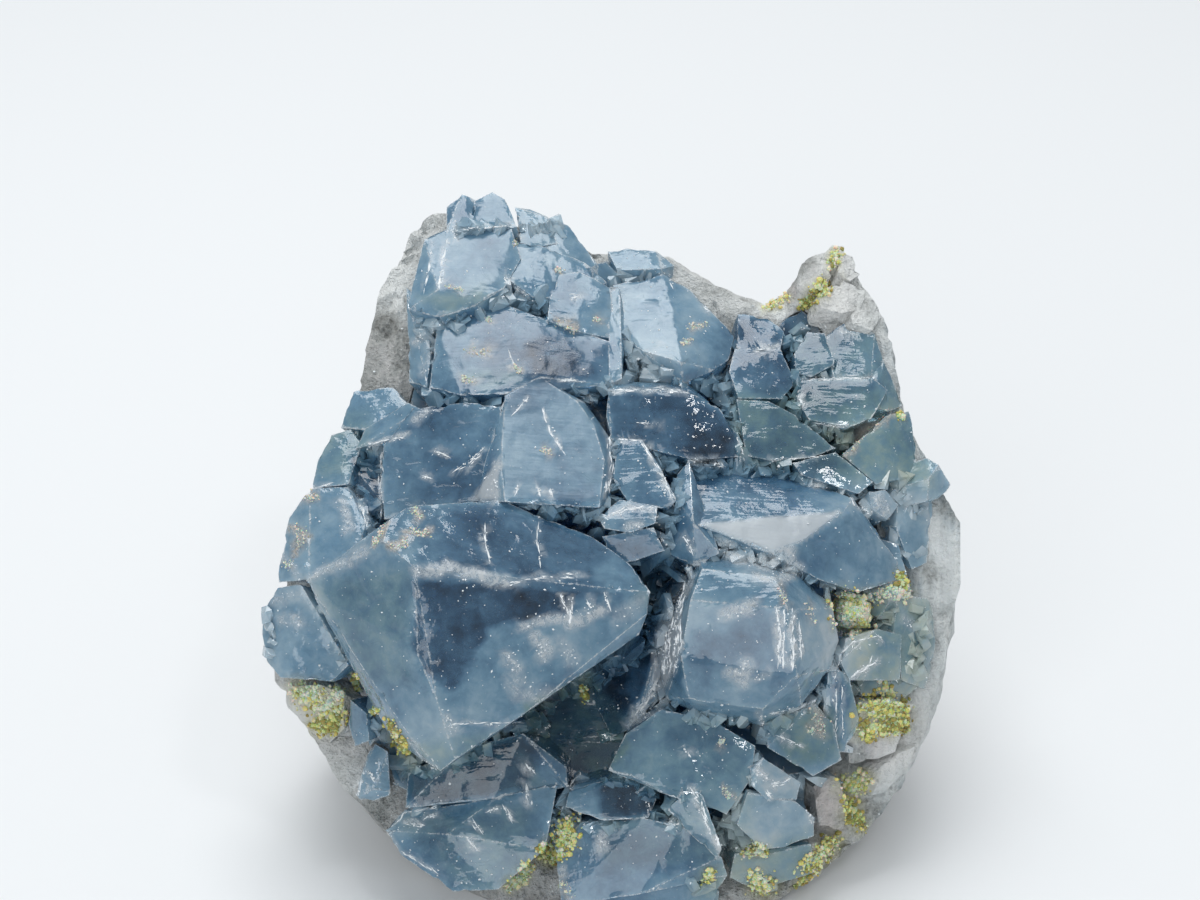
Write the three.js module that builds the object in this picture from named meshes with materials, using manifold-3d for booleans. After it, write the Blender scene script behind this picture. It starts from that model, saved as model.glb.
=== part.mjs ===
// Celestite crystal cluster: a fragment of a geode wall that stands on its rind.
// Millimetres, +Z up. The druse of blue crystals faces -Y and leans back.
import * as THREE from "three";
import { ConvexGeometry } from "three/addons/geometries/ConvexGeometry.js";
import { mergeVertices } from "three/addons/utils/BufferGeometryUtils.js";
import Module from "manifold-3d";

const manifold = await Module();
manifold.setup();

// Driving dimensions
const FACE_LEAN = THREE.MathUtils.degToRad(60);         // from flat on its back to the way it stands
const FACE_HEIGHT = 43.3;                               // of the middle of the druse above the floor
const READING_DISTANCE = 328;                           // from which the face coordinates are read
const GAP = 0.35;                                       // between the crystals and the rind
const CORNER_GAP = 0.6;                                 // from the corners of a lump or of the stub crystal

// Roots behind the free corners: how far each goes in towards a place deep in the rind, as shares
// of the way across the face and of the way into it
const ROOT_CENTRE = [2, -20, -30];
const ROOT_EVERY = 3;                                   // one free corner in so many has a root corner
const CRYSTAL_ROOT = { narrowing: 0.25, depth: 0.5 };
const LUMP_ROOT = { narrowing: 0.2, depth: 0.25 };

// The rind, and the bed of massive celestite in it that the crystals share
const RIND_THICKNESS = 4.5;
const RIND_LUMPS = 0.9;                                 // height of the lumps on it
const LUMP_WAVES = { broad: 8, fine: 18 };              // how closely they follow each other
const BED_RISE = 1;                                     // of the bed over the dish of the rind
const BED_INSET = 7.5;                                  // of the bed from the rim of the rind

// Small crystals between the large ones. Their face distances are shares of their size, which runs
// from the middle of a crystal to its dome faces.
const SMALL_CRYSTAL_SPACING = 6.1;
const SMALL_CRYSTAL_SIZE = { least: 1.9, most: 2.9 };
const SMALL_CRYSTAL_FACES = { basal: 0.8, prism: 1.5, dome: 1 };
const SMALL_CRYSTAL_TILT = 1.6;                         // spread of its lean, in radians
const CLEAR_SHARE = 0.4;                                // of a small crystal, outside the large ones
const DRUSE = { left: -31, right: 34, low: -46, high: 22 };

const FLOOR_SLAB = { width: 200, depth: 60 };
const WELD_DISTANCE = 1e-4;
const TINY = 1e-6;

// Unit cell edges of celestite in angstroms, from which the angles between its faces follow
const CELL = { a: 8.359, b: 5.352, c: 6.866 };

// Face coordinates: u to the right, v up the druse, w out of it, all in millimetres as they are
// seen from the reading distance. Parts nearer the eye look larger by perspective, so a corner
// that stands out is drawn in to match.
function fromFace([u, v, w]) {
  const nearness = 1 - w / READING_DISTANCE;
  const point = new THREE.Vector3(u * nearness, v * nearness, w);
  point.applyAxisAngle(new THREE.Vector3(1, 0, 0), FACE_LEAN);
  point.z += FACE_HEIGHT;
  return point;
}

function between(from, to, share) {
  return from.map((value, axis) => value + (to[axis] - value) * share);
}

// A repeatable value from 0 to 1 for a place, so that natural variation is the same in every run
function chance(seed, salt) {
  const value = Math.sin(seed * 127.1 + salt * 311.7) * 43758.5453;
  return value - Math.floor(value);
}

function solidOf(geometry) {
  const plain = geometry.clone();
  plain.deleteAttribute("normal");
  plain.deleteAttribute("uv");
  const welded = mergeVertices(plain, WELD_DISTANCE);
  return new manifold.Manifold(new manifold.Mesh({
    numProp: 3,
    vertProperties: new Float32Array(welded.attributes.position.array),
    triVerts: new Uint32Array(welded.index.array),
  }));
}

function geometryOf(solid) {
  const mesh = solid.getMesh();
  const geometry = new THREE.BufferGeometry();
  geometry.setAttribute("position", new THREE.BufferAttribute(mesh.vertProperties, 3));
  geometry.setIndex(new THREE.BufferAttribute(mesh.triVerts, 1));
  geometry.computeVertexNormals();
  return geometry;
}

function joined(solids) {
  return solids.reduce((whole, solid) => whole.add(solid));
}

function largestPiece(solid) {
  const pieces = solid.decompose();
  return pieces.reduce((largest, piece) => (piece.volume() > largest.volume() ? piece : largest));
}

function addPlane(planes, normal, distance) {
  const known = planes.some((plane) => (
    plane.normal.distanceTo(normal) < TINY && Math.abs(plane.distance - distance) < TINY
  ));
  if (!known) planes.push({ normal, distance });
}

// The corners where three of the planes meet inside all the others
function cornersOf(planes) {
  const corners = [];
  for (const [i, first] of planes.entries()) {
    for (const [j, second] of planes.entries()) {
      for (const third of planes.slice(j + 1)) {
        if (j <= i) continue;
        const rows = new THREE.Matrix3().set(...first.normal, ...second.normal, ...third.normal);
        if (Math.abs(rows.determinant()) < TINY) continue;
        const corner = new THREE.Vector3(first.distance, second.distance, third.distance)
          .applyMatrix3(rows.invert());
        if (planes.every(({ normal, distance }) => normal.dot(corner) < distance + TINY)) {
          corners.push(corner);
        }
      }
    }
  }
  return corners;
}

// Large crystals, each by the corners of its free faces in face coordinates [u, v, w]. A crystal
// is convex, so the corners alone give its faces.
const LARGE_CRYSTALS = {
  front_blade: [
    [-19.3, -12.2, 13], [-22.6, -9.5, 11.6], [-22, -7.3, 9.1], [-20, -5.8, 7.1], [-10.4, -5.2, 3.2],
    [-1, -8.9, 3.4], [3.4, -12, 5], [5.3, -14.8, 7], [5, -17, 7.2], [4.1, -19.3, 6.8], [-7.5, -27.2, 9.9],
    [-15.1, -32.3, 10.6], [-17, -26, 12.4], [-19, -21.5, 12.5], [-16.6, -33.5, 9.5], [-20.5, -29, 9.4],
    [-24.5, -22.5, 8.1], [-27.5, -16.5, 7.4], [-30.7, -13.6, 6], [-27.9, -18.5, 4.5], [-25.9, -22.5, 4],
    [-22.2, -29.3, 5], [-19, -32, 7],
  ],
  right_block: [
    [10.6, -12.3, 4.6], [18.3, -13.2, 5.3], [19.6, -16.5, 7.2], [20.6, -23.6, 7.3], [17, -27, 5.2],
    [9.2, -26, 4.6], [8.4, -21.5, 5.9], [9.4, -15.6, 6], [6.8, -26, 1], [10.4, -27.6, 1.5],
    [16.7, -28.8, 1.5], [21, -26.6, 2], [24, -22.9, 1.5], [24.9, -19.8, 1], [24.3, -16.5, 0.5],
    [21, -12.8, 1], [15.1, -11.2, 1.5], [10.4, -11.3, 2], [7.6, -16.5, 0], [5.9, -21.5, -0.5],
  ],
  roof_crystal: [
    [9.4, -1, -5.4], [17.2, -1.6, -5.8], [26.4, -4.9, -3], [25.4, -6.4, -0.5], [10.1, -7.8, 2.5],
    [20.8, -9.6, 2], [17.7, -10.7, 3.1], [28.2, -8, -3], [31, -11.5, -5],
    [31, -13.6, -4.5], [27, -14.8, -1], [23, -13.6, 1.5], [12.5, -10.5, 0.5],
  ],
  roof_side_slab: [
    [8, -2.5, -2], [9.3, -1, -2.5], [9.7, -7.5, 2.8], [12.5, -10.8, 3.2], [9.8, -12.2, 2.5],
    [7.2, -10.8, 1], [6.4, -9.5, 0], [7.9, -5, 0],
  ],
  tombstone: [
    [-9.9, 5.7, -2.5], [-6.3, 7.6, -3.9], [-2.4, 5.2, -2.8], [-0.6, 2.6, -1.5], [0.5, -1, 0.5],
    [0, -6, 3.5], [-9.9, -5.4, 4], [-10.3, -2.1, 2.1], [-10.2, 1, 0.3], [-1.6, 5, -4.4],
    [1, 1.4, -3], [1.7, -1.6, -1.5], [1, -5.8, 0.5], [-13.3, -5.4, 1.2],
  ],
  back_light_crystal: [
    [1.3, 17.2, -13], [6.6, 18.4, -14], [9.4, 16.7, -13.5], [11.5, 14.5, -11.5], [14.1, 12, -10.5],
    [13.4, 9.4, -8.5], [12, 8.3, -7], [8.6, 6.9, -5.6], [8.4, 9.2, -4.9], [4.2, 10.4, -6.5],
    [2.1, 11.9, -8.5], [1.3, 12.5, -9.5],
  ],
  saddle_block_left: [
    [0.8, 20.7, -16], [2.8, 21.1, -16], [5.9, 20.7, -16], [7.8, 19.2, -15.5], [6.5, 18.9, -14],
    [1.8, 18.7, -14],
  ],
  saddle_block_middle: [
    [8.6, 18.7, -15.5], [12, 18.5, -15.5], [12.3, 16.8, -14.5], [10.6, 17.2, -13.8], [9.4, 17.7, -14],
  ],
  saddle_block_right: [
    [11.8, 17, -15], [13.6, 18.3, -15.5], [15.5, 16.6, -15], [16.9, 15.3, -14.5], [15.6, 15.2, -13.5],
    [12, 16.3, -13.7],
  ],
  crown_left: [
    [-16, 25.3, -15.5], [-14.4, 26.8, -16], [-13, 26.1, -16], [-13.3, 23.2, -13.5], [-16, 22.8, -13],
  ],
  crown_right: [
    [-13.1, 26, -15.5], [-11.2, 26.9, -16], [-9.9, 26.2, -15.5], [-8.6, 23.2, -13.5], [-13.6, 23, -12.5],
  ],
  striped_block: [
    [-19.8, 16, -9.5], [-18.3, 22, -12.5], [-16, 23, -13.2], [-9.2, 23.1, -13.2], [-8.2, 20, -11.5],
    [-10, 16.8, -8.8], [-11.5, 16.2, -8], [-16.9, 16.7, -7.8], [-20.2, 14.6, -8.5], [-16.7, 13.8, -7.2],
    [-13, 15, -7.3],
  ],
  pale_shoulder_upper: [
    [-8.9, 25.3, -16.5], [-7.3, 25.1, -17], [-5.4, 24.3, -16.5], [-4.5, 21.5, -14.5], [-8.2, 21, -13.5],
  ],
  pale_shoulder_lower: [
    [-5.4, 24.2, -16.5], [-3.3, 23.4, -16.5], [-1.2, 20.6, -15.5], [0.3, 18.6, -14], [-3, 17.8, -12],
    [-6, 19.5, -13],
  ],
  upper_middle_block: [
    [-8.8, 21.8, -13.5], [-5, 21, -13.2], [-1.5, 19.5, -13], [0.8, 17.5, -12], [-2, 15.6, -10.5],
    [-7, 15.9, -9.3], [-9.8, 17.9, -9.8],
  ],
  upper_middle_wedge: [
    [-4.2, 18.3, -11], [-2.2, 18.6, -11.5], [1.2, 17.1, -11], [1.3, 11.6, -8], [-3, 12.5, -7],
    [-5.5, 13.5, -7.5], [-5.2, 16, -9],
  ],
  wide_dark_crystal: [
    [-16.9, 13.6, -8.5], [-10.4, 15.4, -9.5], [-4.7, 13.2, -8], [1.1, 11.3, -7.5], [1.1, 6.8, -5],
    [-2.5, 7.2, -4.2], [-6.3, 7.6, -3.6], [-9.9, 5.8, -2.8], [-14.5, 5.7, -3], [-17.8, 6.5, -4.5],
    [-17.4, 10, -6.5], [-7.5, 11.5, -6],
  ],
  narrow_prism: [
    [0.9, 17.3, -11.5], [2.1, 17.1, -11.5], [2.3, 7.4, -4.8], [0.9, 6.9, -4.6], [2.8, 12.4, -9.5],
  ],
  middle_left_crystal: [
    [-22.6, 0.5, -2.4], [-19.6, 4.4, -3], [-14, 5, -2.4], [-10.3, 4.6, -1.8], [-10.3, -1, -0.6],
    [-10.8, -5.4, 0.6], [-17, -5.6, 0], [-22.6, -7.3, -0.3], [-22.9, -3, -1.4],
  ],
  thin_edge_crystal: [
    [-25.5, 0.1, -5], [-20.3, 1.4, -4.5], [-18.6, 4.3, -5], [-20, 5, -6.5], [-24.5, 2.2, -6.5],
  ],
  centre_block: [
    [0.8, 6.3, -3.6], [9.3, 6.1, -3.9], [12.5, 4.3, -4.1], [14.4, 1.5, -4], [14.8, -0.8, -3.4],
    [9.5, -1, -2.3], [1.2, 1, -2.4], [0.6, 3.5, -3.2], [2, 7.4, -7], [9, 7, -7],
  ],
  slanted_prism: [
    [1.9, 1.3, -2], [4.4, 1.1, -1.6], [6.5, -2, 0], [8.1, -5.2, 1.8], [7.2, -6.2, 2],
    [3, -5.6, 1.5], [1.3, -3, 0],
  ],
  centre_chip_upper: [
    [-0.3, -7, 2.5], [2, -5.1, 1.5], [6, -5.8, 2], [5.8, -7.6, 3], [3.2, -8.6, 3.3], [0.4, -8.2, 3],
  ],
  centre_chip_lower: [
    [0.2, -9, 3], [5.6, -8, 3], [6.8, -10.5, 3.4], [3.6, -11.6, 3.2], [1.3, -11.8, 3],
  ],
  right_middle_facet: [
    [14.2, 5.3, -6.5], [17.6, 5.1, -6.5], [20.4, 3.7, -6], [24.6, 0.2, -5], [22, -0.8, -4],
    [17.8, -1.1, -3.6], [15.2, -0.6, -3.8],
  ],
  right_upper_facet: [
    [20.6, 7.3, -8.5], [24, 7.6, -9], [28.3, 7.7, -9], [30, 6.3, -9], [28.3, 3.2, -6.5],
    [26, 2.3, -6], [21.8, 3.1, -6], [20.5, 5, -7],
  ],
  under_horn_left: [
    [20.2, 10, -10.5], [21.6, 12.4, -12], [23.4, 12.2, -12], [24.5, 9, -9.5], [22, 7.6, -9],
    [20.4, 8, -9.5],
  ],
  under_horn_right: [
    [23.4, 11.8, -12], [25.6, 13.5, -13], [28.6, 12.2, -12.5], [29.6, 9.3, -11.5], [28.3, 7.6, -9.5],
    [24.3, 7.5, -9],
  ],
  speckled_crystal: [
    [14.3, 14.3, -13], [17.5, 13.8, -13], [19.2, 12.4, -12], [18.8, 10.5, -10.5], [16, 9.9, -9.5],
    [14.1, 10.7, -10.5],
  ],
  below_speckled: [
    [14, 10.6, -10], [18.8, 10.6, -10.2], [20.4, 7, -8.5], [19, 5.3, -7.2], [14.4, 5.4, -6.3],
    [13.4, 8.2, -7.8],
  ],
  right_edge_upper: [
    [25.2, -0.5, -5], [30, 3.8, -8], [32.2, 4.2, -9.5], [33.2, 0, -8.5], [32.6, -2.8, -7],
    [28.8, -3.6, -4.5],
  ],
  right_ledge: [
    [20, -1.3, -3.5], [24.5, -0.2, -4.5], [28.5, -3.3, -4], [27, -4.6, -3.2], [21, -2.6, -3],
  ],
  right_small_block: [
    [28, -4.3, -3.5], [29.7, -4.1, -4], [31.2, -5.6, -4.5], [30, -7.3, -3.8], [28.2, -6.2, -3],
  ],
  right_edge_middle: [
    [31, -3.5, -7], [34, -3.2, -8.5], [35.3, -7, -8.5], [35.6, -11, -8.5], [32.5, -12.5, -6.5],
    [30.8, -8, -5.5],
  ],
  right_edge_lower: [
    [31, -15, -4.5], [34.6, -15.5, -7], [35, -20.5, -7], [34, -25, -6.5], [31.4, -24, -3.5],
    [30.5, -19, -3.5],
  ],
  right_striated: [
    [25.6, -19.6, -1], [28.8, -18.6, -1.5], [31.4, -19.2, -3], [31.3, -24, -3], [26, -24, 0],
    [25, -22, 0],
  ],
  right_striped_prism: [
    [23.9, -22, -0.5], [26, -23.8, -0.5], [27, -28, -1.5], [26.3, -31.5, -2], [24, -31.5, -1],
    [23.2, -27, -0.5],
  ],
  lower_right_facet: [
    [17.3, -28.2, 1], [22.5, -26.4, 0.5], [24.3, -28.5, 0], [25.2, -32.3, -0.5], [22.2, -34, 1],
    [17.4, -31, 2],
  ],
  lower_middle_crystal: [
    [6.4, -26.9, 2], [12.2, -28.4, 2.5], [16.2, -30.8, 3], [15.9, -34, 3.5], [13.2, -38, 4],
    [8, -36.4, 5], [3.4, -34, 4.5], [0.8, -33.4, 3.5], [2.6, -29.6, 2.5],
  ],
  dark_long_crystal: [
    [-3.2, -35.2, 2], [1.8, -34, 2.5], [4.6, -34.5, 2.8], [5.9, -36.4, 3], [5.1, -38.3, 4],
    [0, -38.6, 4], [-3.6, -37.2, 3],
  ],
  bottom_crystal: [
    [-4.8, -41, 2], [-1.9, -38.7, 2.5], [4.5, -38.3, 4], [8.6, -39.2, 4.5], [12.7, -42.4, 4],
    [13.3, -44.3, 3], [4, -46.3, 4.5], [-4, -47.5, 4],
  ],
  bottom_lip_crystal: [
    [-4, -46.8, 3.5], [4, -45.6, 4], [13.3, -44.2, 2.5], [11, -48.5, 1.5], [3, -50, 1], [-4, -49.6, 1],
  ],
  white_rimmed_crystal: [
    [8.6, -35.5, 5], [10.6, -35.6, 5], [12.7, -41.5, 5], [12.2, -42.6, 4.5], [9.4, -40, 4.8],
    [7, -37.5, 4.6],
  ],
  whitish_crystal_upper: [
    [15.6, -33, 3.5], [17, -32, 3.2], [20.9, -34.6, 2.5], [20.5, -36.4, 3], [17.6, -36.6, 4.5],
    [15.8, -35, 4.5],
  ],
  whitish_crystal_lower: [
    [15.4, -35.6, 4.5], [20.4, -36.6, 3.5], [22.6, -38.4, 1.5], [22.3, -40.2, 1], [20, -41.3, 1.8],
    [16.8, -41.7, 2.8], [14.2, -39, 4],
  ],
  bottom_left_crystal: [
    [-22.5, -39.6, 1], [-20.4, -37.5, 0.5], [-15, -36.9, 2.5], [-10.4, -36, 3], [-4.4, -34.8, 2.5],
    [-5.7, -41.6, 5], [-10.6, -45.8, 5], [-15.3, -46, 4], [-20.8, -42.2, 2.2], [-16, -40, 4.5],
  ],
  flat_crystal_under_blade: [
    [-20, -33.6, 0], [-14, -31, 2], [-8, -29.5, 2], [-3.5, -33, 1], [-3.2, -35.2, 1.6],
    [-11, -36.3, 3.2], [-20.3, -37.3, 1.5],
  ],
  crevice_crystal: [
    [4.4, -19.5, -5], [6.2, -14.5, -4.5], [8.5, -12.2, -4], [6.5, -20, -3.5], [5.8, -26, -2.5],
    [3.6, -28.8, -2], [1.2, -30, -3], [-1.5, -24.5, -6],
  ],
  left_edge_crystal: [
    [-33.6, -14.3, -1], [-31.2, -13.9, 0.5], [-28.6, -18, 1], [-26.2, -22.4, 2], [-28, -24.2, 1.5],
    [-33.3, -23.7, 0], [-34.7, -22, -1], [-35.2, -19, -1.5], [-34.8, -16.3, -1.5],
  ],
  left_crystal: [
    [-30.2, -3.9, -4], [-26.2, -3.8, -3], [-24.4, -7.6, -0.5], [-24.8, -10.1, 1], [-30.4, -13.6, 1.5],
    [-33.5, -13.8, -1.5], [-33.6, -12, -2.5], [-32.4, -7, -4],
  ],
  left_upper_crystal: [
    [-29.4, -1, -6], [-28, 1.6, -7], [-26, 2.2, -7], [-24.8, 0.6, -6], [-26.2, -3.6, -3.8],
    [-30, -4, -4.5],
  ],
  left_grey_crystal: [
    [-27, 2.3, -8], [-25.8, 6.2, -9.5], [-21.5, 6.6, -8.5], [-19.9, 4.8, -7], [-24.6, 2.1, -6.5],
  ],
  left_strip_crystal: [
    [-19.9, 7, -8], [-19.6, 14, -11], [-20.2, 17, -12.5], [-18, 15, -10.5], [-17.6, 9.5, -7.5],
    [-18, 6.5, -6],
  ],
  lower_edge_crystal: [
    [14, -42, 1.5], [18, -42, 1], [22, -41, 0], [22.5, -44, -1], [16, -46, 0], [13.5, -44.5, 1.5],
  ],
  right_upper_edge: [
    [28.4, 7.8, -9.5], [29.6, 9.4, -11], [30.6, 7, -11], [31.6, 4.6, -10.5], [30, 4, -8.5],
    [28.6, 4.4, -7.5],
  ],
  left_low_block: [
    [-26, -26, 0], [-24.2, -27.5, 2], [-24, -30.3, 1], [-25.6, -30.9, -0.5], [-26.2, -28.5, -1],
  ],
};

// A short crystal that grows out of the rind by itself, with its foot seated on it
const STUB_CRYSTAL = [
  [-25.3, -36, 2], [-24.9, -36.5, 1.2], [-23.6, -36.6, 1.4], [-21.9, -36.1, 2], [-21.8, -35.6, 2.6],
  [-22.1, -31.4, 0.6], [-23.4, -30.6, -0.4], [-24.2, -31.6, -0.6], [-25, -34.2, 1.6], [-23.4, -35.4, 3.1],
  [-22.3, -31.4, -9], [-23.6, -31, -9], [-24, -33.2, -8], [-22.4, -34, -8],
];

// Lumps of matrix on the rind, each by its free corners in face coordinates
const MATRIX_LUMPS = {
  horn_left: [
    [20.6, 17.6, -14], [21.2, 19.2, -14.5], [22.6, 19.9, -14.8], [23.8, 19.3, -14.2],
    [23.9, 17.6, -13.2], [22.2, 16.8, -12.8], [21, 16.9, -13.2], [22.3, 18.4, -13.2],
  ],
  horn_top: [
    [23.4, 20.3, -15], [24.2, 21.1, -15.3], [25.2, 21, -15.3], [25.4, 19.6, -14.4], [24.2, 19, -14],
  ],
  horn_right: [
    [25.2, 20.4, -15], [26.2, 20.1, -15.2], [27, 18.3, -14.6], [26, 17.6, -13.6], [24.8, 18.4, -13.6],
  ],
  horn_middle: [
    [23.6, 17, -13], [25.3, 17.6, -13.3], [27.5, 16.6, -13.6], [27.2, 14.8, -12.8],
    [25.2, 14.2, -12], [23, 14.8, -12.2], [22.8, 16, -12.6],
  ],
  horn_low: [
    [20, 15, -13], [21.8, 16, -13.2], [23, 14.6, -12.2], [22.6, 12.8, -11.8], [20.3, 13, -12.2],
  ],
  horn_outer: [
    [26.2, 15.4, -13], [28, 15.8, -14], [28.9, 13.8, -13.2], [28, 12.6, -12.4], [26.3, 13.2, -12.2],
  ],
  lower_left: [
    [-32.6, -24.6, -3.5], [-29, -24.6, -1.5], [-26.6, -25.5, -1.2], [-26.6, -29, -1.5],
    [-28.2, -30.8, -2.5], [-30.3, -29.3, -4], [-32.4, -26.8, -4.8],
  ],
  right_wedge: [
    [25.9, -30.4, -2], [29.5, -30, -3], [31, -29.6, -4], [30.6, -31.3, -4], [26, -32.3, -3],
    [30.5, -26, -3], [27.6, -26.4, -2], [32.6, -26.5, -4.5],
  ],
  lower_right_edge: [
    [29.4, -33.2, -4], [31, -31.8, -4.5], [32.9, -30.8, -5.5], [32.2, -33, -5.5],
    [29.8, -35.6, -5], [28.3, -36, -4.5], [29, -34.5, -3.5],
  ],
  lower_right: [
    [21.9, -34.9, -1], [24.2, -34.2, -1.5], [25.4, -37.2, -2], [24.8, -39, -2.5],
    [22.8, -39.2, -1.5], [22.4, -36.5, -0.5],
  ],
  bottom_ledge: [
    [22, -41, -1.5], [24.5, -40.5, -3], [23, -43.3, -3.5], [19.5, -45.5, -2.5], [22.5, -44, -1.5],
  ],
};

// The root behind the free corners of a crystal or lump: it has fewer corners, and narrows
function withRoot(corners, { narrowing, depth }) {
  const roots = corners.filter((corner, place) => place % ROOT_EVERY === 0).map((corner) => [
    ...between(corner, ROOT_CENTRE, narrowing).slice(0, 2),
    between(corner, ROOT_CENTRE, depth)[2],
  ]);
  return [...corners, ...roots];
}

function convexSolid(corners) {
  return solidOf(new ConvexGeometry(corners.map(fromFace)));
}

// The same corners, each further from the middle of them all
function grown(corners, growth) {
  const middle = [0, 1, 2].map((axis) => (
    corners.reduce((sum, corner) => sum + corner[axis], 0) / corners.length
  ));
  return corners.map((corner) => {
    const reach = Math.hypot(...corner.map((value, axis) => value - middle[axis]));
    return between(middle, corner, 1 + growth / reach);
  });
}

// The rim of the rind, anticlockwise from the right, in face coordinates. The upper right horn is
// bare rind; elsewhere crystals stand over the rim.
const RIM = [
  [36.5, -14, -8], [36.1, -8, -8.5], [34.4, -2, -9.5], [32.4, 4, -11], [30.4, 10.5, -13],
  [28.5, 15.5, -14], [26.3, 19.8, -15], [24.5, 21.2, -15.5], [22, 20.2, -15.5], [20.4, 17.2, -15],
  [17.5, 15.4, -14.8], [13, 16.7, -16], [7, 19.4, -17.3], [0, 19.6, -17.6], [-6, 22.8, -18.2],
  [-12, 24.8, -18.5],
  [-17.8, 25.3, -17], [-19.9, 22, -15], [-22.5, 16.5, -13], [-24.4, 11, -11.5], [-26, 5, -10],
  [-28, 0, -9], [-30, -5, -8], [-32.3, -12, -7.5], [-33.6, -19, -7], [-33.9, -24, -6.5],
  [-30.8, -29.8, -6], [-27, -34.2, -5.5], [-22.5, -38.5, -4], [-17, -43.5, -3], [-10, -47.5, -2],
  [0, -50.5, -1], [10, -50, -1.5], [18, -47.5, -2.5], [22.7, -45, -4], [27.5, -40, -5],
  [31.6, -34.3, -6], [34.5, -29.5, -7], [36, -24, -7.5], [36.7, -19, -8],
];
const FRONT_MIDDLE = [2, -16, -9];
const BACK_POLE = [2, -22, -36];
const FRONT_RINGS = 5;
const BACK_RINGS = 9;

// Lumps of two sizes on the rind, as a height for a direction out of its middle
function lump(direction) {
  const [u, v, w] = direction.map((value) => value * LUMP_WAVES.broad);
  const broad = Math.sin(u + 1) * Math.sin(v) + Math.sin(w + 2) * Math.sin(u / 2);
  const [x, y, z] = direction.map((value) => value * LUMP_WAVES.fine);
  const fine = Math.sin(x + y) * Math.sin(y - z + 2);
  return broad + fine / 2;
}

// A closed body within the rim: a shallow dish in front and a rounded back. Its rim is drawn in by
// the inset, its back by the back inset, and its dish is lifted by the rise.
function rimmedBody({ inset, backInset, rise, lumps }) {
  const rim = RIM.map((corner) => {
    const span = Math.hypot(corner[0] - BACK_POLE[0], corner[1] - BACK_POLE[1]);
    return [...between(corner, BACK_POLE, inset / span).slice(0, 2), corner[2] + rise];
  });
  const front = [FRONT_MIDDLE[0], FRONT_MIDDLE[1], FRONT_MIDDLE[2] + rise];
  const back = [BACK_POLE[0], BACK_POLE[1], BACK_POLE[2] + backInset];
  const rings = [];
  for (let ring = 1; ring <= FRONT_RINGS; ring += 1) {
    rings.push(rim.map((corner) => between(front, corner, ring / FRONT_RINGS)));
  }
  for (let ring = 1; ring < BACK_RINGS; ring += 1) {
    const turn = (ring / BACK_RINGS) * (Math.PI / 2);
    rings.push(rim.map((corner) => [
      ...between(back, corner, Math.cos(turn)).slice(0, 2),
      between(corner, back, Math.sin(turn))[2],
    ]));
  }
  const middle = between(front, back, 0.5);
  const points = [front, ...rings.flat(), back].map((corner) => {
    const out = corner.map((value, axis) => value - middle[axis]);
    const length = Math.hypot(...out);
    const height = lumps * lump(out.map((value) => value / length));
    return fromFace(between(middle, corner, 1 + height / length));
  });
  const geometry = new THREE.BufferGeometry();
  geometry.setFromPoints(points);
  geometry.setIndex(ringFaces(rings.length, rim.length));
  return solidOf(geometry);
}

// Triangles of a body of stacked rings, with its first point before them and its last behind
function ringFaces(ringCount, count) {
  const faces = [];
  const last = 1 + ringCount * count;
  for (let step = 0; step < count; step += 1) {
    const next = (step + 1) % count;
    faces.push(0, 1 + step, 1 + next);
    for (let ring = 0; ring < ringCount - 1; ring += 1) {
      const here = 1 + ring * count;
      const beyond = here + count;
      faces.push(here + step, beyond + step, beyond + next, here + step, beyond + next, here + next);
    }
    faces.push(last - count + step, last, last - count + next);
  }
  return faces;
}

// Small crystals between the large ones, in the form that celestite takes: a prism with domes and
// a basal face
const SIGNS = [
  [1, 1, 1], [-1, 1, 1], [1, -1, 1], [1, 1, -1], [-1, -1, 1], [-1, 1, -1], [1, -1, -1], [-1, -1, -1],
];

function crystalForm(size) {
  const { basal, prism, dome } = SMALL_CRYSTAL_FACES;
  const families = [
    { index: [0, 0, 1], distance: size * basal },
    { index: [2, 1, 0], distance: size * prism },
    { index: [0, 1, 1], distance: size * dome },
  ];
  const planes = [];
  for (const { index: [h, k, l], distance } of families) {
    for (const [sa, sb, sc] of SIGNS) {
      const normal = new THREE.Vector3(sa * h / CELL.a, sb * k / CELL.b, sc * l / CELL.c).normalize();
      addPlane(planes, normal, distance);
    }
  }
  return cornersOf(planes);
}

// Stretches of the face with no small crystals: bare rind, and the cave under the front blade
const BARE_STRETCHES = [
  { left: 15, right: 40, low: 10, high: 30 },
  { left: -40, right: -14, low: 6, high: 30 },
  { left: -40, right: -22, low: -44, high: -22 },
  { left: -9, right: 3, low: -36, high: -23 },
  { left: 26, right: 40, low: -45, high: -25 },
];

function isBare([u, v]) {
  return BARE_STRETCHES.some(({ left, right, low, high }) => u > left && u < right && v > low && v < high);
}

// The depth of the bed at a spot on the face, or null where the spot is too near the rim
function bedDepth([u, v]) {
  const middle = FRONT_MIDDLE;
  const angle = Math.atan2(v - middle[1], u - middle[0]);
  const turnTo = (corner) => {
    const away = Math.atan2(corner[1] - middle[1], corner[0] - middle[0]) - angle;
    return Math.abs(Math.atan2(Math.sin(away), Math.cos(away)));
  };
  const nearest = RIM.reduce((best, corner) => (turnTo(corner) < turnTo(best) ? corner : best));
  const reach = Math.hypot(u - middle[0], v - middle[1]);
  const span = Math.hypot(nearest[0] - middle[0], nearest[1] - middle[1]);
  if (reach > span - SMALL_CRYSTAL_SIZE.most) return null;
  return between(middle, nearest, reach / span)[2] + BED_RISE;
}

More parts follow.
